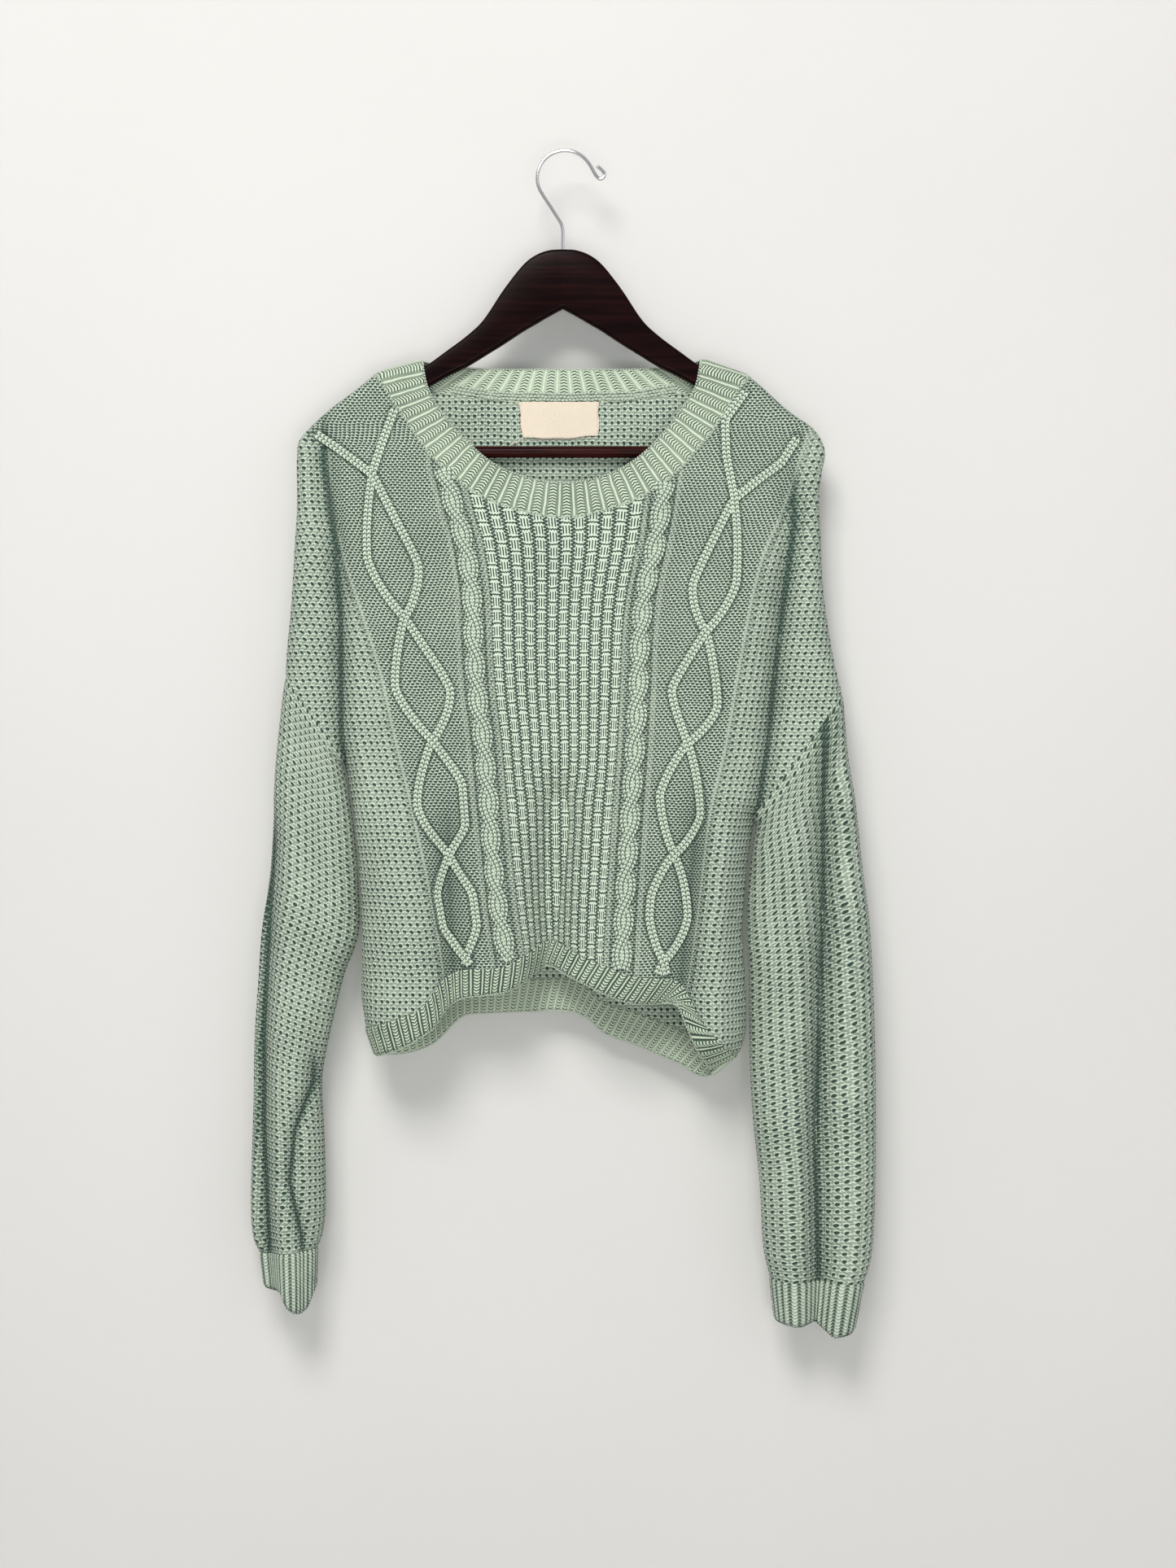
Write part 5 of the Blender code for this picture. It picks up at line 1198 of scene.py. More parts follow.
def band_wall(name, inner, normal, ribs, seam, cells, tube=True, tint=0.0):
    """Ribbed band from rows of inner points; its inner face carries the ribs too.

    seam holds the outer points of the first row, where the band joins a panel or a sleeve.
    """
    if tube:
        inner, normal, seam = closed_round(inner), closed_round(normal), np.vstack((seam, seam[:1]))
    columns = np.arange(inner.shape[1], dtype=float)
    rows = np.arange(inner.shape[0], dtype=float)
    fine = np.linspace(0, 1, ribs * RIB_SAMPLES + 1)
    fine_columns = np.interp(fine, fractions(inner[0]), columns)
    column, row = np.meshgrid(fine_columns, np.linspace(0, len(rows) - 1, cells + 1))
    base = bilinear(inner, column, row, columns, rows)
    out = unit(bilinear(normal, column, row, columns, rows))
    rib = np.mod(fine * ribs, 1)
    height = rib_profile(rib)[None, :]
    down = np.linalg.norm(base - base[:1], axis=2)
    from_end = np.linalg.norm(base - base[-1:], axis=2)
    wales = 0.12 * np.cos(FULL_TURN * down / 3.0 + FULL_TURN * np.abs(rib - 0.5)[None, :] * 2)
    lip = smooth_step(from_end / 2.2)
    outer_relief = (RIB_RELIEF * height + wales * height) * smooth_step(down / 2.5 + 0.15)
    inner_relief = -INNER_RIB_RELIEF * height * smooth_step(down / 4.0) * smooth_step(from_end / 4.0)
    outer = base + out * (wall_depth() - 0.7 * (1 - lip) + outer_relief * (0.55 + 0.45 * lip))[..., None]
    inside = base + out * (inner_relief + 0.5 * (1 - lip))[..., None]
    outer[0] = read_at(seam, columns, fine_columns)
    stitch = np.stack((np.broadcast_to(fine * ribs, down.shape), down), axis=-1)
    MADE[name] = ((outer[-1] + inside[-1]) / 2, out[-1])
    kept = slice(None, -1 if tube else None)
    outer, inside = outer[:, kept], inside[:, kept]
    shape = outer.shape[:2]
    # tint sets the painted shade in the rib grooves; the inner face gets much less of it, so it is painted
    # lighter.
    return closed_wall(name, outer, inside, tube, False, stitch, stitch, {"tint": np.full(shape, tint)},
                       {"tint": np.full(shape, tint * 0.2 - 0.5)})


def make_hem(name, cloth, edge):
    """Ribbed hem band under one panel, narrowing to its free edge."""
    top = cloth.inner[-1].copy()
    share = (top[:, 0] - top[0, 0]) / (top[-1, 0] - top[0, 0])
    curve = spline(edge)
    bottom_x = curve[0, 0] + OUTLINE_INSET + share * (curve[-1, 0] - curve[0, 0] - 2 * OUTLINE_INSET)
    order = np.argsort(curve[:, 0])
    bottom_z = np.interp(bottom_x, curve[order, 0], curve[order, 1])
    top[:, 2] -= EDGE_GAP
    bottom = np.stack((bottom_x, top[:, 1] * 0.94, bottom_z), axis=1)
    bottom[[0, -1], 1] = top[[0, -1], 1]
    inner = np.stack((top, (top + bottom) / 2, bottom), axis=0)
    normal = grid_normals(inner, -1.0 if cloth.panel.front else 1.0)
    normal[0] = cloth.normal[-1]
    for column in (0, -1):
        normal[1:, column] = flatten(normal[1:, column], (0, 1, 0))
    seam = cloth.outer[-1] - np.array((0, 0, EDGE_GAP))
    return band_wall(name, inner, normal, HEM_RIBS, seam, 14, False, 0.6)


def make_neckband():
    """Ribbed ring from the neck seam to its free inner edge, over both arms of the hanger."""
    front, back = cloth_of("front"), cloth_of("back")
    ahead = within(front.columns, front.panel.neck_columns)
    behind = within(back.columns, back.panel.neck_columns, 2 * EXACT)
    pairs = (front.inner, back.inner), (front.normal, back.normal), (front.outer, back.outer)
    seam, seam_normal, seam_outer = (np.vstack((first[0][ahead], second[0][behind][::-1]))
                                     for first, second in pairs)
    count = int(np.sum(ahead))
    corners = (0, count - 1)
    seam[corners, 1] = 0
    share_front = fractions(seam[:count])
    share_back = fractions(np.vstack((seam[count - 1:], seam[:1])))[1:-1]
    flat = np.vstack((along(spline(BAND_FRONT), share_front), along(spline(BAND_BACK)[::-1], share_back)))
    share = np.concatenate((share_front, share_back))
    sizes = (count, len(share_back))
    lengths = np.repeat((330.0, 240.0), sizes)
    depth = 8.0 * rounding(np.minimum(share, 1 - share) * lengths, 8.0)
    edge = np.stack((flat[:, 0], np.repeat((-1.0, 1.0), sizes) * depth, flat[:, 1]), axis=1)
    away = flatten(edge - seam, np.roll(seam, -1, axis=0) - np.roll(seam, 1, axis=0))
    for corner in corners:
        near = [away[corner + step] for step in (-3, -2, 2, 3) if 0 <= corner + step < len(away)]
        away[corner] = unit(np.sum(near, axis=0))
    start = seam + away * EDGE_GAP
    inner = np.stack([start + (edge - start) * part for part in (0, 0.13, 0.5, 1)], axis=0)
    normal = ring_normals(inner)
    normal[0] = seam_normal
    return band_wall("sweater_neckband", inner, normal, NECK_RIBS, seam_outer + away * EDGE_GAP, 18)


# ---------------------------------------------------------------- sleeves
SLEEVE_ROWS = 250
SLEEVE_HALF = 84            # columns of the grid from one fold of the tube to the other
SLEEVE_WALES = 28           # stitches round the sleeve
SLEEVE_STEPS = (6, 4)       # rows and columns of the outer grid for one of the inner grid
SLEEVE_RELIEF = 1.3         # how much higher its stitches stand than the body's
SLEEVE_LEAST = 4.0          # least depth of the tube in front and behind
BODY_SHARE = 0.16           # share of the sleeve over which its depth leaves the body's
#          outer edge, inner edge, folds in front, folds behind, cuff
SLEEVES = ((SLEEVE_OUTER_LEFT, SLEEVE_INNER_LEFT, SLEEVE_FOLDS_LEFT, SLEEVE_BACK_FOLDS_LEFT, CUFF_LEFT),
           (SLEEVE_OUTER_RIGHT, SLEEVE_INNER_RIGHT, SLEEVE_FOLDS_RIGHT, SLEEVE_BACK_FOLDS_RIGHT, CUFF_RIGHT))


def armhole_line(cloth, side):
    """Outer points, inner points and shares of a panel's armhole, from the shoulder fold down."""
    above = cloth.rows <= ARMPIT_ROW + EXACT
    column = 0 if side == 0 else -1
    return cloth.outer[above, column], cloth.inner[above, column], cloth.rows[above] / ARMPIT_ROW


def downward(way):
    """A direction in the front view, turned to point down."""
    return -way if way[-1] > 0 else way


def thinned(grid):
    """Every few rows of a sleeve's grid, its last row kept."""
    return np.concatenate((grid[:-1:SLEEVE_STEPS[0]], grid[-1:]), axis=0)


def make_sleeve(side, word):
    """Sleeve tube from the armhole to the cuff in seed stitch, and its ribbed cuff."""
    front, back = cloth_of("front"), cloth_of("back")
    outline = front.panel.outline
    outer_edge, inner_edge, folds, back_folds, cuff = SLEEVES[side]
    middle = ((outer_edge[0][0] + inner_edge[-1][0]) / 2, -700)
    armhole = outline.armhole(side)
    across = armhole[1] - armhole[0]
    drop = downward(np.array((across[1], -across[0])) / np.linalg.norm(across))
    rows = np.linspace(0, 1, SLEEVE_ROWS + 1) ** 1.08
    rails = []
    for edge, start in ((outer_edge, armhole[0]), (inner_edge, armhole[1])):
        rail = inset(spline(edge), OUTLINE_INSET, middle)
        rail[0] = start + drop * EDGE_GAP
        rails.append(along(rail, rows))
    even = np.linspace(0, 1, SLEEVE_HALF + 1)
    half = (1 - np.cos(np.pi * even)) / 2 * 0.75 + even * 0.25
    share = np.concatenate((half, half[::-1][1:-1]))
    ahead = np.arange(len(share)) < len(half)
    flat = rails[0][:, None] * (1 - share[None, :, None]) + rails[1][:, None] * share[None, :, None]
    x, z = flat[..., 0], flat[..., 1]
    table = np.array(SLEEVE_DEPTHS, float)[::-1]
    depth_front, depth_back, radius = read_at(table[:, 1:], table[:, 0], z.ravel()).T.reshape(3, *z.shape)
    own = np.where(ahead, depth_front + fold_height(folds, x, z), depth_back + fold_height(back_folds, x, z))
    width = np.linalg.norm(rails[0] - rails[1], axis=1)[:, None]
    near = np.minimum(share, 1 - share)[None, :] * width
    own = np.maximum(own, SLEEVE_LEAST) * rounding(near, np.minimum(radius, width * 0.45))
    start = armhole[0] * (1 - share[:, None]) + armhole[1] * share[:, None]
    body = np.where(ahead, outline.depth(*start.T, True), outline.depth(*start.T, False))
    blend = smooth_step(1 - rows / BODY_SHARE)[:, None]
    depth = own * (1 - blend) + body[None, :] * blend
    inner = np.stack((x, np.where(ahead, -depth, depth), z), axis=-1)
    plane = np.array((drop[0], 0, drop[1]))
    down = run_length(inner)
    normal = blend_edge(ring_normals(inner) * (-1 if side == 0 else 1), down, plane, 8.0)
    near_pit = (smooth_step((share - 0.93) / 0.07)[None, :] * smooth_step(1 - down / 8.0))[..., None]
    normal = unit(normal * (1 - near_pit) + np.array((0, 0, -1.0)) * near_pit)
    last = rails[0][-1] - rails[1][-1]
    normal[-1] = flatten(normal[-1], (-last[1], 0, last[0]))
    turned = run_length(closed_round(inner), 1)
    s = turned / turned[:, -1:] * SLEEVE_WALES * MOSS_ACROSS
    t = closed_round(down).mean(axis=1)[:, None] * np.ones_like(s)
    stitch = np.stack((s, t), axis=-1)
    ends = smooth_step(down / 3.0) * smooth_step((down[-1:] - down) / 3.0)
    puff = MOSS_RELIEF * SLEEVE_RELIEF * moss_relief(s, t)[:, :-1]
    # fold is the painted shade of the creases; the cloth sinks a little there too.
    fold = np.where(ahead, crease_shade(folds, x, z), crease_shade(back_folds, x, z))
    relief = 0.4 + puff * smooth_step(down / 9.0) * ends - CREASE_SINK * fold ** 2 * ends
    outer = inner + normal * (wall_depth() + relief)[..., None]
    edges = armhole_line(front, side), armhole_line(back, side)
    for number, grid in enumerate((outer, inner)):
        a, b = (read_at(edge[number], edge[2], share) for edge in edges)
        grid[0] = np.where(ahead[:, None], a, b) + plane * EDGE_GAP
    step = SLEEVE_STEPS[1]
    inside, inside_map = thinned(inner)[:, ::step], thinned(stitch)
    inside_map = np.concatenate((inside_map[:, :-1:step], inside_map[:, -1:]), axis=1)
    # The inner face gets half the fold mask: painted shade inside the tube.
    wall = closed_wall("sweater_sleeve_" + word, outer, inside, True, False, stitch, inside_map,
                       {"fold": fold}, {"fold": np.full(inside.shape[:2], 0.5)})
    return wall, make_cuff(word, inner[-1], normal[-1], last, share, cuff)


def make_cuff(word, ring, ring_normal, last, share, cuff):
    """Ribbed cuff under the sleeve's last ring."""
    outer_end, inner_end, drops = cuff
    down = downward(unit(np.array((last[1], 0, -last[0]))))
    top = ring + down * EDGE_GAP
    ends = np.array((outer_end, inner_end), float)
    inward = np.sign(ends[1, 0] - ends[0, 0]) * OUTLINE_INSET
    ends[:, 0] += (inward, -inward)
    flat = ends[0] * (1 - share[:, None]) + ends[1] * share[:, None]
    hang = np.interp(share, np.linspace(0, 1, len(drops)), drops)
    hang = np.where(ring[:, 1] < 0, hang, hang * 0.4)
    bottom = np.stack((flat[:, 0], top[:, 1] * 0.8, flat[:, 1] - hang), axis=1)
    inner = np.stack((top, (top + bottom) / 2, bottom), axis=0)
    normal = ring_normals(inner)
    normal = normal * np.sign(np.sum(normal[1] * ring_normal, axis=1).sum())
    normal[0] = ring_normal
    seam = ring + ring_normal * wall_depth() + down * EDGE_GAP
    return band_wall("sweater_cuff_" + word, inner, normal, CUFF_RIBS, seam, 16, True, 0.3)


# ---------------------------------------------------------------- label
LABEL_CELLS = (56, 28)
LOOSE_THREAD = ((-36.0, -245.0), (-38.5, -248.0), (-41.0, -249.5), (-44.0, -250.2), (-46.5, -252.0))


def back_depth(x, z):
    """Distance of the back's inner face from the middle plane."""
    return cloth_of("back").panel.outline.depth(x, z, False)


def make_label_sheet():
    """Bare woven label on the inside of the back, its edges a little curled."""
    left, right, bottom, top = LABEL_BOX
    u, v = np.meshgrid(*(np.linspace(0, 1, count + 1) for count in LABEL_CELLS))
    wave = 0.5 * np.sin(7 * u + 1.0) + 0.35 * np.sin(17 * u)
    x = left + (right - left) * u + 0.5 * np.sin(9 * v + 2.0) * (2 * u - 1) + 3.2 * v * (1 - u)
    z = top + (bottom - top) * v + wave * v * 0.8 + 2.2 * u * v - 0.8 * np.sin(np.pi * u) * v + 0.6
    depth = back_depth(x, z) + SEAM_GAP / 2 - 0.5
    curl = 1.3 * smooth_step((v - 0.75) / 0.25) * (0.6 + 0.4 * np.sin(5 * u))
    near = np.stack((x, depth - curl * 0.5, z), axis=-1)
    stitch = np.stack((x, z), axis=-1)
    far = near - np.array((0, LABEL_THICK, 0))
    return closed_wall("sweater_label", far, near, False, False, stitch, stitch)


def before_back(x, z, clear):
    """Point this far in front of the back's inner face."""
    return x, back_depth(np.array([x]), np.array([z]))[0] - clear, z


def make_label_threads(cotton):
    """Corner stitches of the label and its frayed lower edge."""
    left, right, bottom, top = LABEL_BOX
    rng = np.random.default_rng(SEED)
    places = Stitches()
    for x in (left + 1.5, right - 1.5):
        for k in range(5):
            z = top - 2.0 - 5.5 * k
            places.add_facing(before_back(x, z, 1.5), (0.25, 0, 1.0), (0.7, 4.6, 0.8))
    for x in np.linspace(left + 1, right - 1, 46):
        lean = rng.uniform(-0.5, 0.5)
        u = (x - left) / (right - left)
        z = bottom + 2.2 * u - 0.8 * math.sin(math.pi * u) - rng.uniform(0.0, 1.2)
        places.add_facing(before_back(x, z, 1.6), (lean, -0.2, 1.0), (0.5, rng.uniform(1.6, 3.2), 0.5))
    return stitched("label_threads", places, cotton, 5, 3)


def make_loose_thread():
    """Loose end of yarn that hangs from the label's lower corner."""
    x, z = spline(LOOSE_THREAD, 6).T
    return path_tube("label_loose_thread", np.stack((x, back_depth(x, z) - 1.5, z), axis=-1), 0.35, 8)


# ---------------------------------------------------------------- hanger
ARM_STATIONS = 13       # how many of the hanger's stations belong to the smooth arm, before its tip


def make_hanger_wood():
    """Wooden wishbone: rounded sections from one arm end to the other."""
    table = np.array(HANGER_STATIONS)
    fine = np.vstack((spline(table[:ARM_STATIONS], 6), table[ARM_STATIONS:]))
    rings = []
    for x, top, bottom in np.vstack((fine[::-1] * (-1, 1, 1), fine[1:])):
        narrow = 0.72 if abs(x) > 214 else 1.0
        turn = min(HANGER_EDGE_ROUND, (top - bottom) / 2 * 0.9)
        ring = []
        for corner_y, corner_z, start in ((1, 1, 0), (-1, 1, 90), (-1, -1, 180), (1, -1, 270)):
            centre_y = corner_y * (HANGER_THICK / 2 - turn) * narrow
            centre_z = top - turn if corner_z > 0 else bottom + turn
            for degrees in range(0, 91, 18):
                angle = math.radians(start + degrees)
                ring.append((x, centre_y + turn * narrow * math.cos(angle),
                             centre_z + turn * math.sin(angle)))
        rings.append(ring)
    rings = np.array(rings)
    made = add_mesh("hanger_arms", rings.reshape(-1, 3), round_faces(rings))
    made.data.set_sharp_from_angle(angle=math.radians(40))
    return face_out(made)


def make_bar_wood():
    """Round trouser bar between the arm ends, its ends softly broken."""
    end, broken = BAR_SEAT_X - 0.3, 0.7
    x = np.concatenate(((-end, -end + broken), np.linspace(-end + 3, end - 3, 40), (end - broken, end)))
    radius = np.full(len(x), BAR_RADIUS)
    radius[[0, -1]] -= broken
    radius += 0.05 * np.sin(x * 0.05)
    return path_tube("hanger_trouser_bar", np.stack((x, np.zeros(len(x)), np.full(len(x), BAR_Z)), axis=-1),
                     radius, 40)


def make_hook_wire():
    """Polished wire hook, its stem in the crown."""
    x, z = smoothed(along(hook_route(), np.linspace(0, 1, 260)), 3).T
    radius = np.full(len(x), WIRE_RADIUS)
    radius[0] = WIRE_RADIUS * 0.6
    return path_tube("hanger_wire_hook", np.stack((x, np.zeros(len(x)), z), axis=-1), radius, 24)


# ---------------------------------------------------------------- materials
VECTOR, COLOUR, NUMBER = "NodeSocketVector", "NodeSocketColor", "NodeSocketFloat"
WOBBLE_SCALE = 75.0         # how fine the knitting's small waver is, in waves for each metre
ROW_PITCH = 2.9             # from one dash to the next in the holes beside a strand
RELIEF_DEPTH = 0.0014       # metres that the finest relief of the knit stands for
SOFT_YARN = {"roughness": 0.9, "sheen_weight": 0.08, "sheen_roughness": 0.6, "specular_ior_level": 0.2}


def feed(slot, value):
    """Link a term to a node's input, or set the input's own value."""
    if isinstance(value, Term):
        value.tree.links.new(value.socket, slot)
    else:
        slot.default_value = value


class Term:
    """An output in a node tree that plain sums, products and waves can be written with."""

    def __init__(self, tree, socket):
        self.tree, self.socket = tree, socket

    def node(self, operation, *others):
        """Math node of this term and others."""
        made = self.tree.nodes.new("ShaderNodeMath")
        made.operation = operation
        for slot, value in zip(made.inputs, (self,) + others):
            feed(slot, value)
        return Term(self.tree, made.outputs[0])

    def __add__(self, other):
        return self.node("ADD", other)

    def __sub__(self, other):
        return self.node("SUBTRACT", other)

    def __mul__(self, other):
        return self.node("MULTIPLY", other)

    def __truediv__(self, other):
        return self.node("DIVIDE", other)

    def rest(self):
        """1 less the term."""
        return self * -1.0 + 1.0

    def part(self):
        """The term's part after the whole number."""
        return self.node("FRACT")

    def odd(self):
        """1 in every second whole step, 0 in the others."""
        return self.node("FLOOR").node("FLOORED_MODULO", 2.0)

    def wave(self):
        """Cosine of the term counted in whole turns."""
        return (self * FULL_TURN).node("COSINE")

    def clamp(self, low=0.0, high=1.0):
        """Term mapped from low..high to 0..1 with a soft change."""
        made = self.tree.nodes.new("ShaderNodeMapRange")
        made.interpolation_type = "SMOOTHSTEP"
        for label, value in (("From Min", low), ("From Max", high), ("Value", self)):
            feed(made.inputs[label], value)
        return Term(self.tree, made.outputs["Result"])

    def split(self):
        """Terms of the first two parts of a vector."""
        parts = self.tree.nodes.new("ShaderNodeSeparateXYZ")
        feed(parts.inputs[0], self)
        return Term(self.tree, parts.outputs[0]), Term(self.tree, parts.outputs[1])


def noise(place, scale, detail=2.0):
    """Amount and colour of noise at a place."""
    made = place.tree.nodes.new("ShaderNodeTexNoise")
    for label, value in (("Vector", place), ("Scale", scale), ("Detail", detail)):
        feed(made.inputs[label], value)
    return Term(place.tree, made.outputs["Fac"]), Term(place.tree, made.outputs["Color"])


def mix_colours(share, first, second):
    """Colour between two others."""
    mix = share.tree.nodes.new("ShaderNodeMix")
    mix.data_type = "RGBA"
    for label, value in (("Factor", share), ("A", first), ("B", second)):
        feed(mix.inputs[label], value)
    return Term(share.tree, mix.outputs["Result"])


def new_group(name, inputs, outputs=("Height", "Hole")):
    """Shader node group: its tree and a term for each input, given as a kind of socket or a number."""
    tree = bpy.data.node_groups.new(name, "ShaderNodeTree")
    for label, value in inputs.items():
        kind = value if isinstance(value, str) else NUMBER
        socket = tree.interface.new_socket(label, in_out="INPUT", socket_type=kind)
        if kind == NUMBER:
            socket.default_value = value
    for label in outputs:
        kind = COLOUR if label == "Color" else NUMBER
        tree.interface.new_socket(label, in_out="OUTPUT", socket_type=kind)
    start = tree.nodes.new("NodeGroupInput")
    return tree, {label: Term(tree, start.outputs[label]) for label in inputs}


def finish_group(tree, **outputs):
    """Feed the group's outputs."""
    end = tree.nodes.new("NodeGroupOutput")
    for label, term in outputs.items():
        feed(end.inputs[label], term)


def dent(across, down, wide, tall):
    """Round dent in each cell of two running terms, flat and 1 in its middle."""
    a = across.part() - 0.5
    b = down.part() - 0.5
    away = a * a / (wide * wide) + b * b / (tall * tall)
    return (away * -1.0).node("EXPONENT").clamp(0.10, 0.55)


def build_seed_stitch(name):
    """Puffy bumps with bold and faint slanting holes between them, every second row moved over; the holes
    are sunk in the bump and painted dark as shade.
    """
    tree, given = new_group(name, {"Stitch": VECTOR, "Across": MOSS_ACROSS, "Down": MOSS_DOWN})
    s, t = given["Stitch"].split()
    down = t / given["Down"]
    odd = down.odd()
    slant = (down.part() - 0.5) * (odd * 0.7 - 0.1)
    across = s / given["Across"] + odd * 0.24 + slant
    bold = dent(across, down, 0.25, 0.44) * (odd * -0.5 + 1.12)
    faint = dent(across + 0.5, down + 0.12, 0.16, 0.31) * 0.65
    hole = bold * 0.86 + faint * 0.8
    puff = (down.part() - 0.5).node("ABSOLUTE") * -0.3
    finish_group(tree, Height=hole * -0.8 + puff + 0.9, Hole=hole)


def build_purl_rows(name):
    """Reverse stockinette: level rows of arched loops with a dash at each stitch, sunk and painted dark as
    shade, laid like bricks.
    """
    tree, given = new_group(name, {"Stitch": VECTOR, "Across": 3.9, "Down": 2.3})
    s, t = given["Stitch"].split()
    down = t / given["Down"]
    across = s / given["Across"] + down.odd() * 0.5
    hole = dent(across, down + across.wave() * 0.1, 0.38, 0.34)
    finish_group(tree, Height=hole * -0.75 + across.wave() * 0.08 + 0.75, Hole=hole * 0.95)


def build_blocks(name):
    """Checkerboard of knit blocks with three upright lines each and purl rows with a wavy line between; the
    lines and the holes at the block borders are sunk and painted dark as shade.
    """
    tree, given = new_group(name, {"Column": 0.0, "Stitch": VECTOR, "Block Height": BLOCK_HEIGHT})
    t = given["Stitch"].split()[1]
    column = given["Column"]
    odd = column.odd()
    across = column.part() - 0.5
    down = t / given["Block Height"] * 0.5 + odd * 0.5
    level = down.part() + (across / 0.21).wave() * 0.03
    knit = level.clamp(0.04, 0.12) * level.clamp(0.60, 0.68).rest()
    lines = (across / 0.22).wave().clamp(0.0, 0.8) * across.node("ABSOLUTE").clamp(0.27, 0.33).rest()
    away = (level - 0.82) / 0.05
    wavy = (away * away * -1.0).node("EXPONENT").clamp(0.12, 0.8)
    border = dent(column + 0.5, t / 3.1 + odd * 0.5, 0.17, 0.35)
    hole = knit * lines + wavy + border * 1.05
    finish_group(tree, Height=hole * -0.75 + knit * -0.1 + 0.9, Hole=hole)


def build_yarn(name):
    """Soft fuzz and twist of cotton yarn: a small height, and a slow and a quick change of tint."""
    tree, given = new_group(name, {"Place": VECTOR, "Twist": 900.0}, ("Height", "Tint"))
    fine = noise(given["Place"], given["Twist"], 3.0)[0]
    broad = noise(given["Place"], 24.0)[0]
    finish_group(tree, Height=fine, Tint=fine * 0.6 + broad * 0.4)


def build_dye(name):
    """Yarn colour from light to deep: painted shade in the holes of the stitches and in the creases of
    folds, and the yarn's random change of tone.
    """
    tree, given = new_group(name, {"Light": COLOUR, "Deep": COLOUR, "Hole": 0.0, "Fold": 0.0, "Tint": 0.5},
                            ("Color",))
    amount = given["Hole"] * 0.92 + given["Fold"] * 0.6 + (given["Tint"] - 0.5) * 0.5
    finish_group(tree, Color=mix_colours(amount.clamp(-0.22, 0.92), given["Light"], given["Deep"]))


def build_grain(name):
    """Long wood grain under lacquer: a colour and a small height."""
    tree, given = new_group(name, {"Place": VECTOR, "Dark": COLOUR, "Warm": COLOUR}, ("Color", "Height"))
    stretch = tree.nodes.new("ShaderNodeMapping")
    stretch.inputs["Scale"].default_value = (9.0, 160.0, 160.0)
    feed(stretch.inputs["Vector"], given["Place"])
    grain = noise(Term(tree, stretch.outputs["Vector"]), 1.6, 6.0)[0]
    finish_group(tree, Color=mix_colours(grain.clamp(0.35, 0.7), given["Dark"], given["Warm"]), Height=grain)


GROUPS = {"seed stitch": build_seed_stitch, "purl rows": build_purl_rows, "blocks": build_blocks,
          "yarn": build_yarn, "dye": build_dye, "grain": build_grain}


class Paint:
    """A material whose shader is fed piece by piece."""

    def __init__(self, name):
        self.made = bpy.data.materials.new(name)
        self.made.use_nodes = True
        self.tree = self.made.node_tree
        self.shader = self.tree.nodes["Principled BSDF"]

    def source(self, kind, output, **values):
        """Term of a node that needs nothing fed to it."""
        node = self.tree.nodes.new(kind)
        for key, value in values.items():
            setattr(node, key, value)
        return Term(self.tree, node.outputs[output])

    def place(self):
        """Object coordinates."""
        return self.source("ShaderNodeTexCoord", "Object")

    def mask(self, key):
        """A mask of the cloth."""
        return self.source("ShaderNodeAttribute", "Fac", attribute_name=key)

    def group(self, name, **values):
        """Outputs of one of the shared groups, which is built the first time."""
        if name not in bpy.data.node_groups:
            GROUPS[name](name)
        node = self.tree.nodes.new("ShaderNodeGroup")
        node.node_tree = bpy.data.node_groups[name]
        for key, value in values.items():
            feed(node.inputs[key.title()], value)
        return {slot.name: Term(self.tree, slot) for slot in node.outputs}

    def stitch(self, across, down):
        """Stitch coordinates of the cloth, drawn a little askew across and down as knitting is."""
        previous = noise(self.place(), WOBBLE_SCALE)[1]
        cloth = self.source("ShaderNodeUVMap", "UV", uv_map="stitch")
        for operation, value in (("SUBTRACT", (0.5, 0.5, 0.5)), ("MULTIPLY", (across, down, 0.0)),
                                 ("ADD", cloth)):
            step = self.tree.nodes.new("ShaderNodeVectorMath")
            step.operation = operation
            feed(step.inputs[0], previous)
            feed(step.inputs[1], value)
            previous = Term(self.tree, step.outputs["Vector"])
        return previous

    def finish(self, height, distance, strength=1.0, **values):
        """Bump of a height and what else the shader is given; returns the material."""
        bump = self.tree.nodes.new("ShaderNodeBump")
        for label, value in (("Distance", distance), ("Strength", strength), ("Height", height)):
            feed(bump.inputs[label], value)
        values["normal"] = Term(self.tree, bump.outputs["Normal"])
        for key, value in values.items():
            feed(self.shader.inputs[key.replace("_", " ").title().replace("Ior", "IOR")], value)
        return self.made


def colour(value):
    """Four-part colour of a three-part one."""
    return (*value, 1.0)


def between(a, b, share):
    """Colour between two colours."""
    return tuple(x * (1 - share) + y * share for x, y in zip(a, b))


def knit_paint(name, light, deep, pattern):
    """Cotton knit: pattern returns the height in the shader's stitches and its holes, painted dark as shade;
    the fold mask adds painted shade in the creases.
    """
    paint = Paint(name)
    height, hole = pattern(paint)
    yarn = paint.group("yarn", place=paint.place())
    dye = paint.group("dye", light=colour(light), deep=colour(deep), tint=yarn["Tint"],
                      hole=hole * (yarn["Tint"] * 0.5 + 0.75), fold=paint.mask("fold"))
    return paint.finish(height + yarn["Height"] * 0.12, RELIEF_DEPTH, base_color=dye["Color"], **SOFT_YARN)


def seed_pattern(paint):
    """Seed stitch all over."""
    seed = paint.group("seed stitch", stitch=paint.stitch(3.2, 3.2))
    return seed["Height"], seed["Hole"]


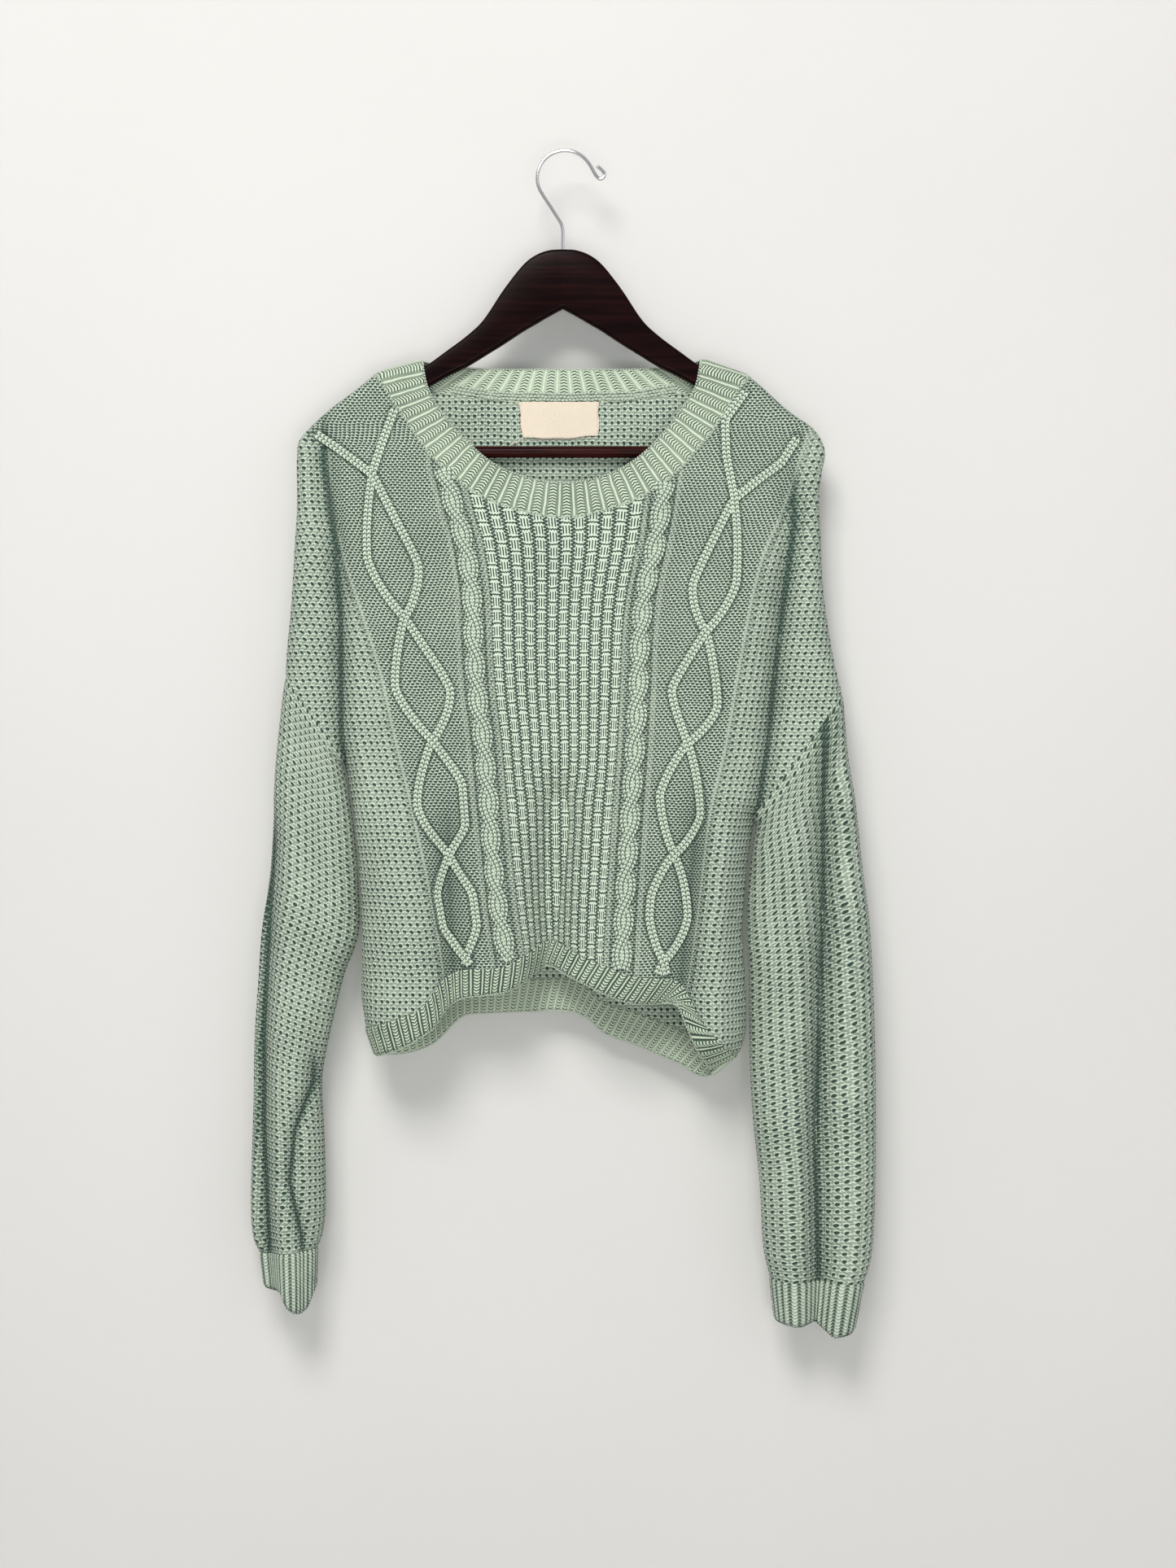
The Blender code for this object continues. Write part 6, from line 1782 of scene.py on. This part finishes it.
def front_pattern(paint):
    """Seed stitch at the sides, fine rows under the strands and a checkerboard in the middle."""
    place = paint.stitch(3.0, 3.0)
    seed = paint.group("seed stitch", stitch=place)
    rows = paint.group("purl rows", stitch=place)
    board = paint.group("blocks", column=paint.mask("block"), stitch=place)
    moss, blocks, ridge = paint.mask("moss"), paint.mask("blocks"), paint.mask("ridge")
    ground = (moss + blocks).rest()
    height, hole = (seed[label] * moss + rows[label] * ground + board[label] * blocks
                    for label in ("Height", "Hole"))
    # Painted shade: dark dashes in the gutters beside the strands and ropes, a little over the purl ground,
    # and less on the raised ridges.
    dashes = (place.split()[1] / ROW_PITCH).wave().clamp(-0.6, 0.5) * 0.5 + 0.5
    hole = hole * (ridge * -0.85 + 1.0) + ground * 0.04 + paint.mask("gutter") * dashes * 0.62
    return height - paint.mask("gutter") * 0.3, hole


def rib_terms(paint):
    """How far a point lies from the middle of its rib, in ribs, and how far down the band."""
    s, t = paint.stitch(0.14, 2.0).split()
    return (s.part() - 0.5).node("ABSOLUTE"), t


def rib_pattern(paint):
    """Broad strips of rungs painted dark as shade, and raised upright lines between two grooves painted dark
    as shade.
    """
    away, t = rib_terms(paint)
    strip = away.clamp(0.22, 0.29).rest()
    line = away.clamp(0.38, 0.45)
    rungs = (t / 2.6 + away * 1.9).wave().clamp(0.0, 0.8)
    # The tint mask sets how dark the painted shade in the grooves is: more on the hems, much less on the
    # inner faces, which are painted lighter.
    hole = (strip + line).rest() * (paint.mask("tint") * 0.5 + 0.54) + strip * (rungs * 0.8 + 0.06)
    return hole * -0.7 + line * 0.15 + 0.8, hole


def narrow_rib_pattern(paint):
    """Narrow upright ribs with grooves between them, the grooves and rungs painted dark as shade."""
    away, t = rib_terms(paint)
    rungs = (t / 2.8 + away * 1.6).wave().clamp(0.0, 0.9)
    hole = away.clamp(0.18, 0.42) * 0.5 + rungs * 0.4 + 0.06
    return hole * -0.7 + 0.8, hole


def plain_pattern(paint):
    """Yarn without a pattern of its own."""
    zero = paint.mask("fold") * 0.0
    return zero, zero


# Each knit: the setting that holds its light yarn, how far that goes to the deep yarn, its pattern. The
# cores between the raised stitches go most of the way there as painted shade; the linking stitches are a
# little darker.
KNITS = {"knit_front": ("light", 0.0, front_pattern),
         "knit_seed_stitch": ("light", 0.0, seed_pattern),
         "knit_sleeves": ("light", 0.0, seed_pattern),
         "knit_raised_stitches": ("light", 0.0, plain_pattern),
         "knit_between_stitches": ("light", 0.85, plain_pattern),
         "knit_linking": ("light", 0.25, plain_pattern),
         "knit_ribs": ("band", 0.0, rib_pattern),
         "knit_narrow_ribs": ("light", 0.0, narrow_rib_pattern)}


def knit(name):
    """One of the knits, made the first time."""
    if name in bpy.data.materials:
        return bpy.data.materials[name]
    setting, deeper, pattern = KNITS[name]
    chosen = bpy.context.scene.sweater
    return knit_paint(name, between(getattr(chosen, setting), chosen.deep, deeper), chosen.deep, pattern)


def label_paint():
    """Woven cotton of the bare label."""
    paint = Paint("label_cotton_weave")
    s, t = paint.stitch(0.0, 0.0).split()
    weave = s.wave() * 0.5 + (t * 1.3).wave() * 0.5
    yarn = paint.group("yarn", place=paint.place(), twist=500.0)
    chosen = bpy.context.scene.sweater.label
    # The low parts of the weave are painted a little darker, as shade.
    dye = paint.group("dye", light=colour(chosen), deep=colour(between(chosen, (0, 0, 0), 0.5)),
                      hole=(weave * -1.0).clamp(0.2, 1.2) * 0.3, tint=yarn["Tint"])
    return paint.finish(weave, 0.0002, 0.6, base_color=dye["Color"], roughness=0.8, sheen_weight=0.1)


def label_thread_paint():
    """Cotton of the label's threads."""
    paint = Paint("label_thread")
    yarn = paint.group("yarn", place=paint.place(), twist=1500.0)
    chosen = bpy.context.scene.sweater.label
    dye = paint.group("dye", light=colour(chosen), deep=colour(between(chosen, (0, 0, 0), 0.4)),
                      tint=yarn["Tint"])
    return paint.finish(yarn["Height"], 0.0002, 0.5, base_color=dye["Color"], roughness=0.8)


def wood_paint(name, dark, warm, roughness):
    """Lacquered wood."""
    paint = Paint(name)
    grain = paint.group("grain", place=paint.place(), dark=colour(dark), warm=colour(warm))
    return paint.finish(grain["Height"], 0.00025, 0.4, base_color=grain["Color"], roughness=roughness,
                        coat_weight=0.02, coat_roughness=0.12, specular_ior_level=0.03)


def steel_paint():
    """Polished steel wire with faint draw marks."""
    paint = Paint("polished_wire")
    marks = noise(paint.place(), 700.0)[0]
    return paint.finish(marks, 0.00003, 0.2, roughness=marks * 0.12 + 0.08, metallic=1.0,
                        base_color=colour(bpy.context.scene.sweater.steel))


# ---------------------------------------------------------------- the add-on
def colour_property(name, description, value):
    """Property of a colour."""
    return bpy.props.FloatVectorProperty(name=name, description=description, subtype="COLOR", size=3,
                                         default=value)


class SweaterSettings(bpy.types.PropertyGroup):
    """Sizes and colours that a user would change."""
    wall: bpy.props.FloatProperty(name="Wall", description="Thickness of the knitted cloth",
                                  default=0.0024, min=0.001, max=0.003, unit="LENGTH")
    distance: bpy.props.FloatProperty(name="Camera distance", description="From the camera to the hanger",
                                      default=2.0, min=0.5, max=6.0, unit="LENGTH")
    light: colour_property("Yarn", "Yarn where light falls on it", (0.555, 0.640, 0.515))
    # deep is the colour of the painted shade in holes, creases and between the raised stitches, and the dark
    # end of the yarn's random tone.
    deep: colour_property("Deep yarn", "Yarn in holes and folds", (0.022, 0.050, 0.036))
    band: colour_property("Ribs", "Yarn of the neckband, hem and cuffs", (0.545, 0.630, 0.480))
    label: colour_property("Label", "Cotton of the neck label", (0.66, 0.575, 0.46))
    wood_dark: colour_property("Wood", "Dark grain of the hanger", (0.004, 0.0010, 0.0012))
    wood_warm: colour_property("Wood, warm", "Warm grain of the hanger", (0.011, 0.0026, 0.0026))
    bar_dark: colour_property("Bar", "Dark grain of the trouser bar", (0.014, 0.0030, 0.0026))
    bar_warm: colour_property("Bar, warm", "Warm grain of the trouser bar", (0.034, 0.0070, 0.0055))
    steel: colour_property("Steel", "Polished wire of the hook", (0.66, 0.66, 0.67))
    studio: colour_property("Studio", "Floor and backdrop", (0.54, 0.53, 0.512))


def settle(thing, made, node=None, slot=None):
    """Give a finished piece its material and the one body, in place of its plain node where it has one."""
    thing.data.materials.clear()
    thing.data.materials.append(made)
    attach(thing, "root")
    if node:
        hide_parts(node)
    return thing


class MakeFront(bpy.types.Operator):
    """Front panel with its raised strands and cables."""
    bl_idname = "sweater.make_front"
    bl_label = "Front"

    def execute(self, context):
        """Build the front, the strands and the cables on it."""
        wall = settle(make_front_wall(), knit("knit_front"), "front_panel", "knit_front_panel")
        yarn, between_stitches = knit("knit_raised_stitches"), knit("knit_between_stitches")
        made = make_strands(yarn) + make_cables(yarn)
        # The cores take yarn mixed most of the way to the deep yarn: painted shade between the raised
        # stitches.
        extra = [settle(thing, between_stitches) for thing in made[::2]]
        extra += [settle(thing, yarn) for thing in made[1::2]]
        return {"FINISHED"}


class MakeBack(bpy.types.Operator):
    """Back panel in seed stitch."""
    bl_idname = "sweater.make_back"
    bl_label = "Back"

    def execute(self, context):
        """Build the back."""
        wall = settle(make_back_wall(), knit("knit_seed_stitch"), "back_panel", "knit_back_panel")
        return {"FINISHED"}


class MakeBands(bpy.types.Operator):
    """Ribbed neckband and hem bands."""
    bl_idname = "sweater.make_bands"
    bl_label = "Neckband and hem"

    def execute(self, context):
        """Build the neckband with its linked seam, and both hem bands."""
        link, ribs = knit("knit_linking"), knit("knit_ribs")
        band = settle(make_neckband(), ribs, "neckband", "knit_neckband")
        linking = settle(make_linking(link), link)
        loops = settle(make_edge_loops("sweater_neckband", link), link)
        for word, edge in (("front", HEM_FRONT), ("back", HEM_BACK)):
            name, node = "sweater_hem_" + word, "hem_" + word
            hem = settle(make_hem(name, cloth_of(word), edge), ribs, node, "knit_" + node)
            loops = settle(make_edge_loops(name, link), link)
        return {"FINISHED"}


class MakeSleeves(bpy.types.Operator):
    """Both sleeves with their ribbed cuffs."""
    bl_idname = "sweater.make_sleeves"
    bl_label = "Sleeves"

    def execute(self, context):
        """Build each sleeve and its cuff."""
        ribs = knit("knit_narrow_ribs")
        for side, word in enumerate(("left", "right")):
            wall, cuff = make_sleeve(side, word)
            settle(wall, knit("knit_sleeves"), "sleeve_" + word, "knit_sleeve_" + word)
            settle(cuff, ribs, "cuff_" + word, "knit_cuff_" + word)
            loops = settle(make_edge_loops("sweater_cuff_" + word, ribs), ribs)
        return {"FINISHED"}


class MakeLabel(bpy.types.Operator):
    """Bare neck label with its stitches and a loose thread."""
    bl_idname = "sweater.make_label"
    bl_label = "Label"

    def execute(self, context):
        """Build the label."""
        label = settle(make_label_sheet(), label_paint(), "neck_label", "label_cotton")
        cotton = label_thread_paint()
        threads = settle(make_label_threads(cotton), cotton)
        loose = settle(make_loose_thread(), cotton)
        return {"FINISHED"}


class MakeHanger(bpy.types.Operator):
    """Wooden hanger, trouser bar and wire hook."""
    bl_idname = "sweater.make_hanger"
    bl_label = "Hanger"

    def execute(self, context):
        """Build the hanger's three pieces."""
        chosen = context.scene.sweater
        settle(make_hanger_wood(), wood_paint("lacquered_arms", chosen.wood_dark, chosen.wood_warm, 0.3),
               "hanger_body", "hanger_wood")
        settle(make_bar_wood(), wood_paint("lacquered_bar", chosen.bar_dark, chosen.bar_warm, 0.26),
               "hanger_bar", "bar_wood")
        settle(make_hook_wire(), steel_paint(), "hanger_hook", "hook_steel")
        return {"FINISHED"}


# ---------------------------------------------------------------- the studio
FRAME_HEIGHT = 1.349                # metres that the picture is high, at the hanger
FRAME_CENTRE = (0.0217, -0.5436)    # x and z of the picture's middle
FLOOR_HEIGHT = -1.32
WALL_BEHIND = 0.045                 # from the hook to the backdrop
STUDIO_REACH = 6.0                  # from the middle to the floor's edges
BACKDROP_TOP = 4.0
LIGHT_TARGET = (0.0, 0.0, -0.5)
#          name,      place,              size, watts, colour
LIGHTS = (("key_light", (-0.5, -2.25, 1.35), 1.1, 73.0, (1.0, 0.985, 0.96)),
          ("fill_light", (1.9, -2.4, 0.1), 2.2, 10.0, (0.96, 0.98, 1.0)),
          ("low_light", (0.1, -2.6, -1.15), 1.2, 38.0, (0.97, 1.0, 0.99)),
          ("rear_light", (-0.6, 2.4, 1.2), 2.0, 42.0, (1.0, 0.99, 0.97)))
AIR_COLOUR = (0.93, 0.95, 1.0, 1.0)
AIR_STRENGTH = 0.46


def plain_board(name, points, clear_behind):
    """Flat board of four corners, which can be clear to a camera and to light behind it."""
    mesh = bpy.data.meshes.new(name)
    mesh.from_pydata(points, [], [(0, 1, 2, 3)])
    thing = link_object(name, mesh)
    paint = Paint(name + "_paint")
    tree, shader = paint.tree, paint.shader
    studio = bpy.context.scene.sweater.studio
    pale = mix_colours(noise(paint.place(), 2.0)[0], colour(studio),
                       colour(between(studio, (0.9, 0.9, 0.9), 0.12)))
    for label, value in (("Roughness", 0.9), ("Specular IOR Level", 0.1), ("Base Color", pale)):
        feed(shader.inputs[label], value)
    if clear_behind:
        choose = tree.nodes.new("ShaderNodeMixShader")
        open_to = (paint.source("ShaderNodeNewGeometry", "Backfacing")
                   + paint.source("ShaderNodeLightPath", "Is Shadow Ray")
                   + paint.source("ShaderNodeLightPath", "Is Diffuse Ray")).node("MINIMUM", 1.0)
        feed(choose.inputs["Fac"], open_to)
        feed(choose.inputs[1], Term(tree, shader.outputs["BSDF"]))
        feed(choose.inputs[2], paint.source("ShaderNodeBsdfTransparent", "BSDF"))
        feed(tree.nodes["Material Output"].inputs["Surface"], Term(tree, choose.outputs["Shader"]))
    mesh.materials.append(paint.made)
    return thing


def area_light(name, place, size, power, tone):
    """Soft square light turned to the middle of the sweater."""
    data = bpy.data.lights.new(name, "AREA")
    data.shape, data.size, data.energy, data.color = "SQUARE", size, power, tone
    thing = link_object(name, data)
    back = unit(np.array(place) - np.array(LIGHT_TARGET))
    right = unit(np.cross((0, 0, 1.0), back))
    thing.location = place
    thing.rotation_euler = Matrix((right, np.cross(back, right), back)).transposed().to_euler("XYZ")


class MakeStage(bpy.types.Operator):
    """Pale floor and backdrop, soft lights and the camera."""
    bl_idname = "sweater.make_stage"
    bl_label = "Studio"

    def execute(self, context):
        """Build the studio round the hanging sweater."""
        far, low, high = STUDIO_REACH, FLOOR_HEIGHT, BACKDROP_TOP
        plain_board("studio_floor", [(-far, -far, low), (far, -far, low), (far, far, low),
                                              (-far, far, low)], False)
        plain_board("studio_backdrop", [(-far, WALL_BEHIND, low), (far, WALL_BEHIND, low),
                                                 (far, WALL_BEHIND, high), (-far, WALL_BEHIND, high)], True)
        for light in LIGHTS:
            area_light(*light)
        world = context.scene.world or bpy.data.worlds.new("studio_air")
        context.scene.world = world
        world.use_nodes = True
        air = world.node_tree.nodes["Background"]
        air.inputs["Color"].default_value = AIR_COLOUR
        air.inputs["Strength"].default_value = AIR_STRENGTH
        context.scene.view_settings.view_transform = "Standard"
        data = bpy.data.cameras.new("studio_camera")
        data.sensor_width = 36.0
        distance = context.scene.sweater.distance
        data.lens = data.sensor_width / 2 * distance / (FRAME_HEIGHT / 2)
        camera = link_object("studio_camera", data)
        camera.location = (FRAME_CENTRE[0], -distance, FRAME_CENTRE[1])
        camera.rotation_euler = (math.pi / 2, 0, 0)
        context.scene.camera = camera
        return {"FINISHED"}


class SweaterPanel(bpy.types.Panel):
    """Sidebar panel with the sizes, the colours and one button for each group of pieces."""
    bl_idname = "VIEW3D_PT_sweater"
    bl_label = "Sweater"
    bl_space_type = "VIEW_3D"
    bl_region_type = "UI"
    bl_category = "Sweater"

    def draw(self, context):
        """List the settings and the operators."""
        for key in SweaterSettings.__annotations__:
            self.layout.prop(context.scene.sweater, key)
        for maker in MAKERS:
            self.layout.operator(maker.bl_idname)


MAKERS = (MakeFront, MakeBack, MakeBands, MakeSleeves, MakeLabel, MakeHanger, MakeStage)
CLASSES = (SweaterSettings,) + MAKERS + (SweaterPanel,)


def register():
    """Make the add-on's classes and its settings known."""
    for made in CLASSES:
        bpy.utils.register_class(made)
    bpy.types.Scene.sweater = bpy.props.PointerProperty(type=SweaterSettings)


def unregister():
    """Take the add-on's classes and its settings away."""
    del bpy.types.Scene.sweater
    for made in reversed(CLASSES):
        bpy.utils.unregister_class(made)


def main():
    """Build everything."""
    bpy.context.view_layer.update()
    register()
    sweater = bpy.ops.sweater
    sweater.make_hanger()
    sweater.make_front()
    sweater.make_back()
    sweater.make_sleeves()
    sweater.make_bands()
    sweater.make_label()
    sweater.make_stage()


if __name__ == "__main__":
    main()
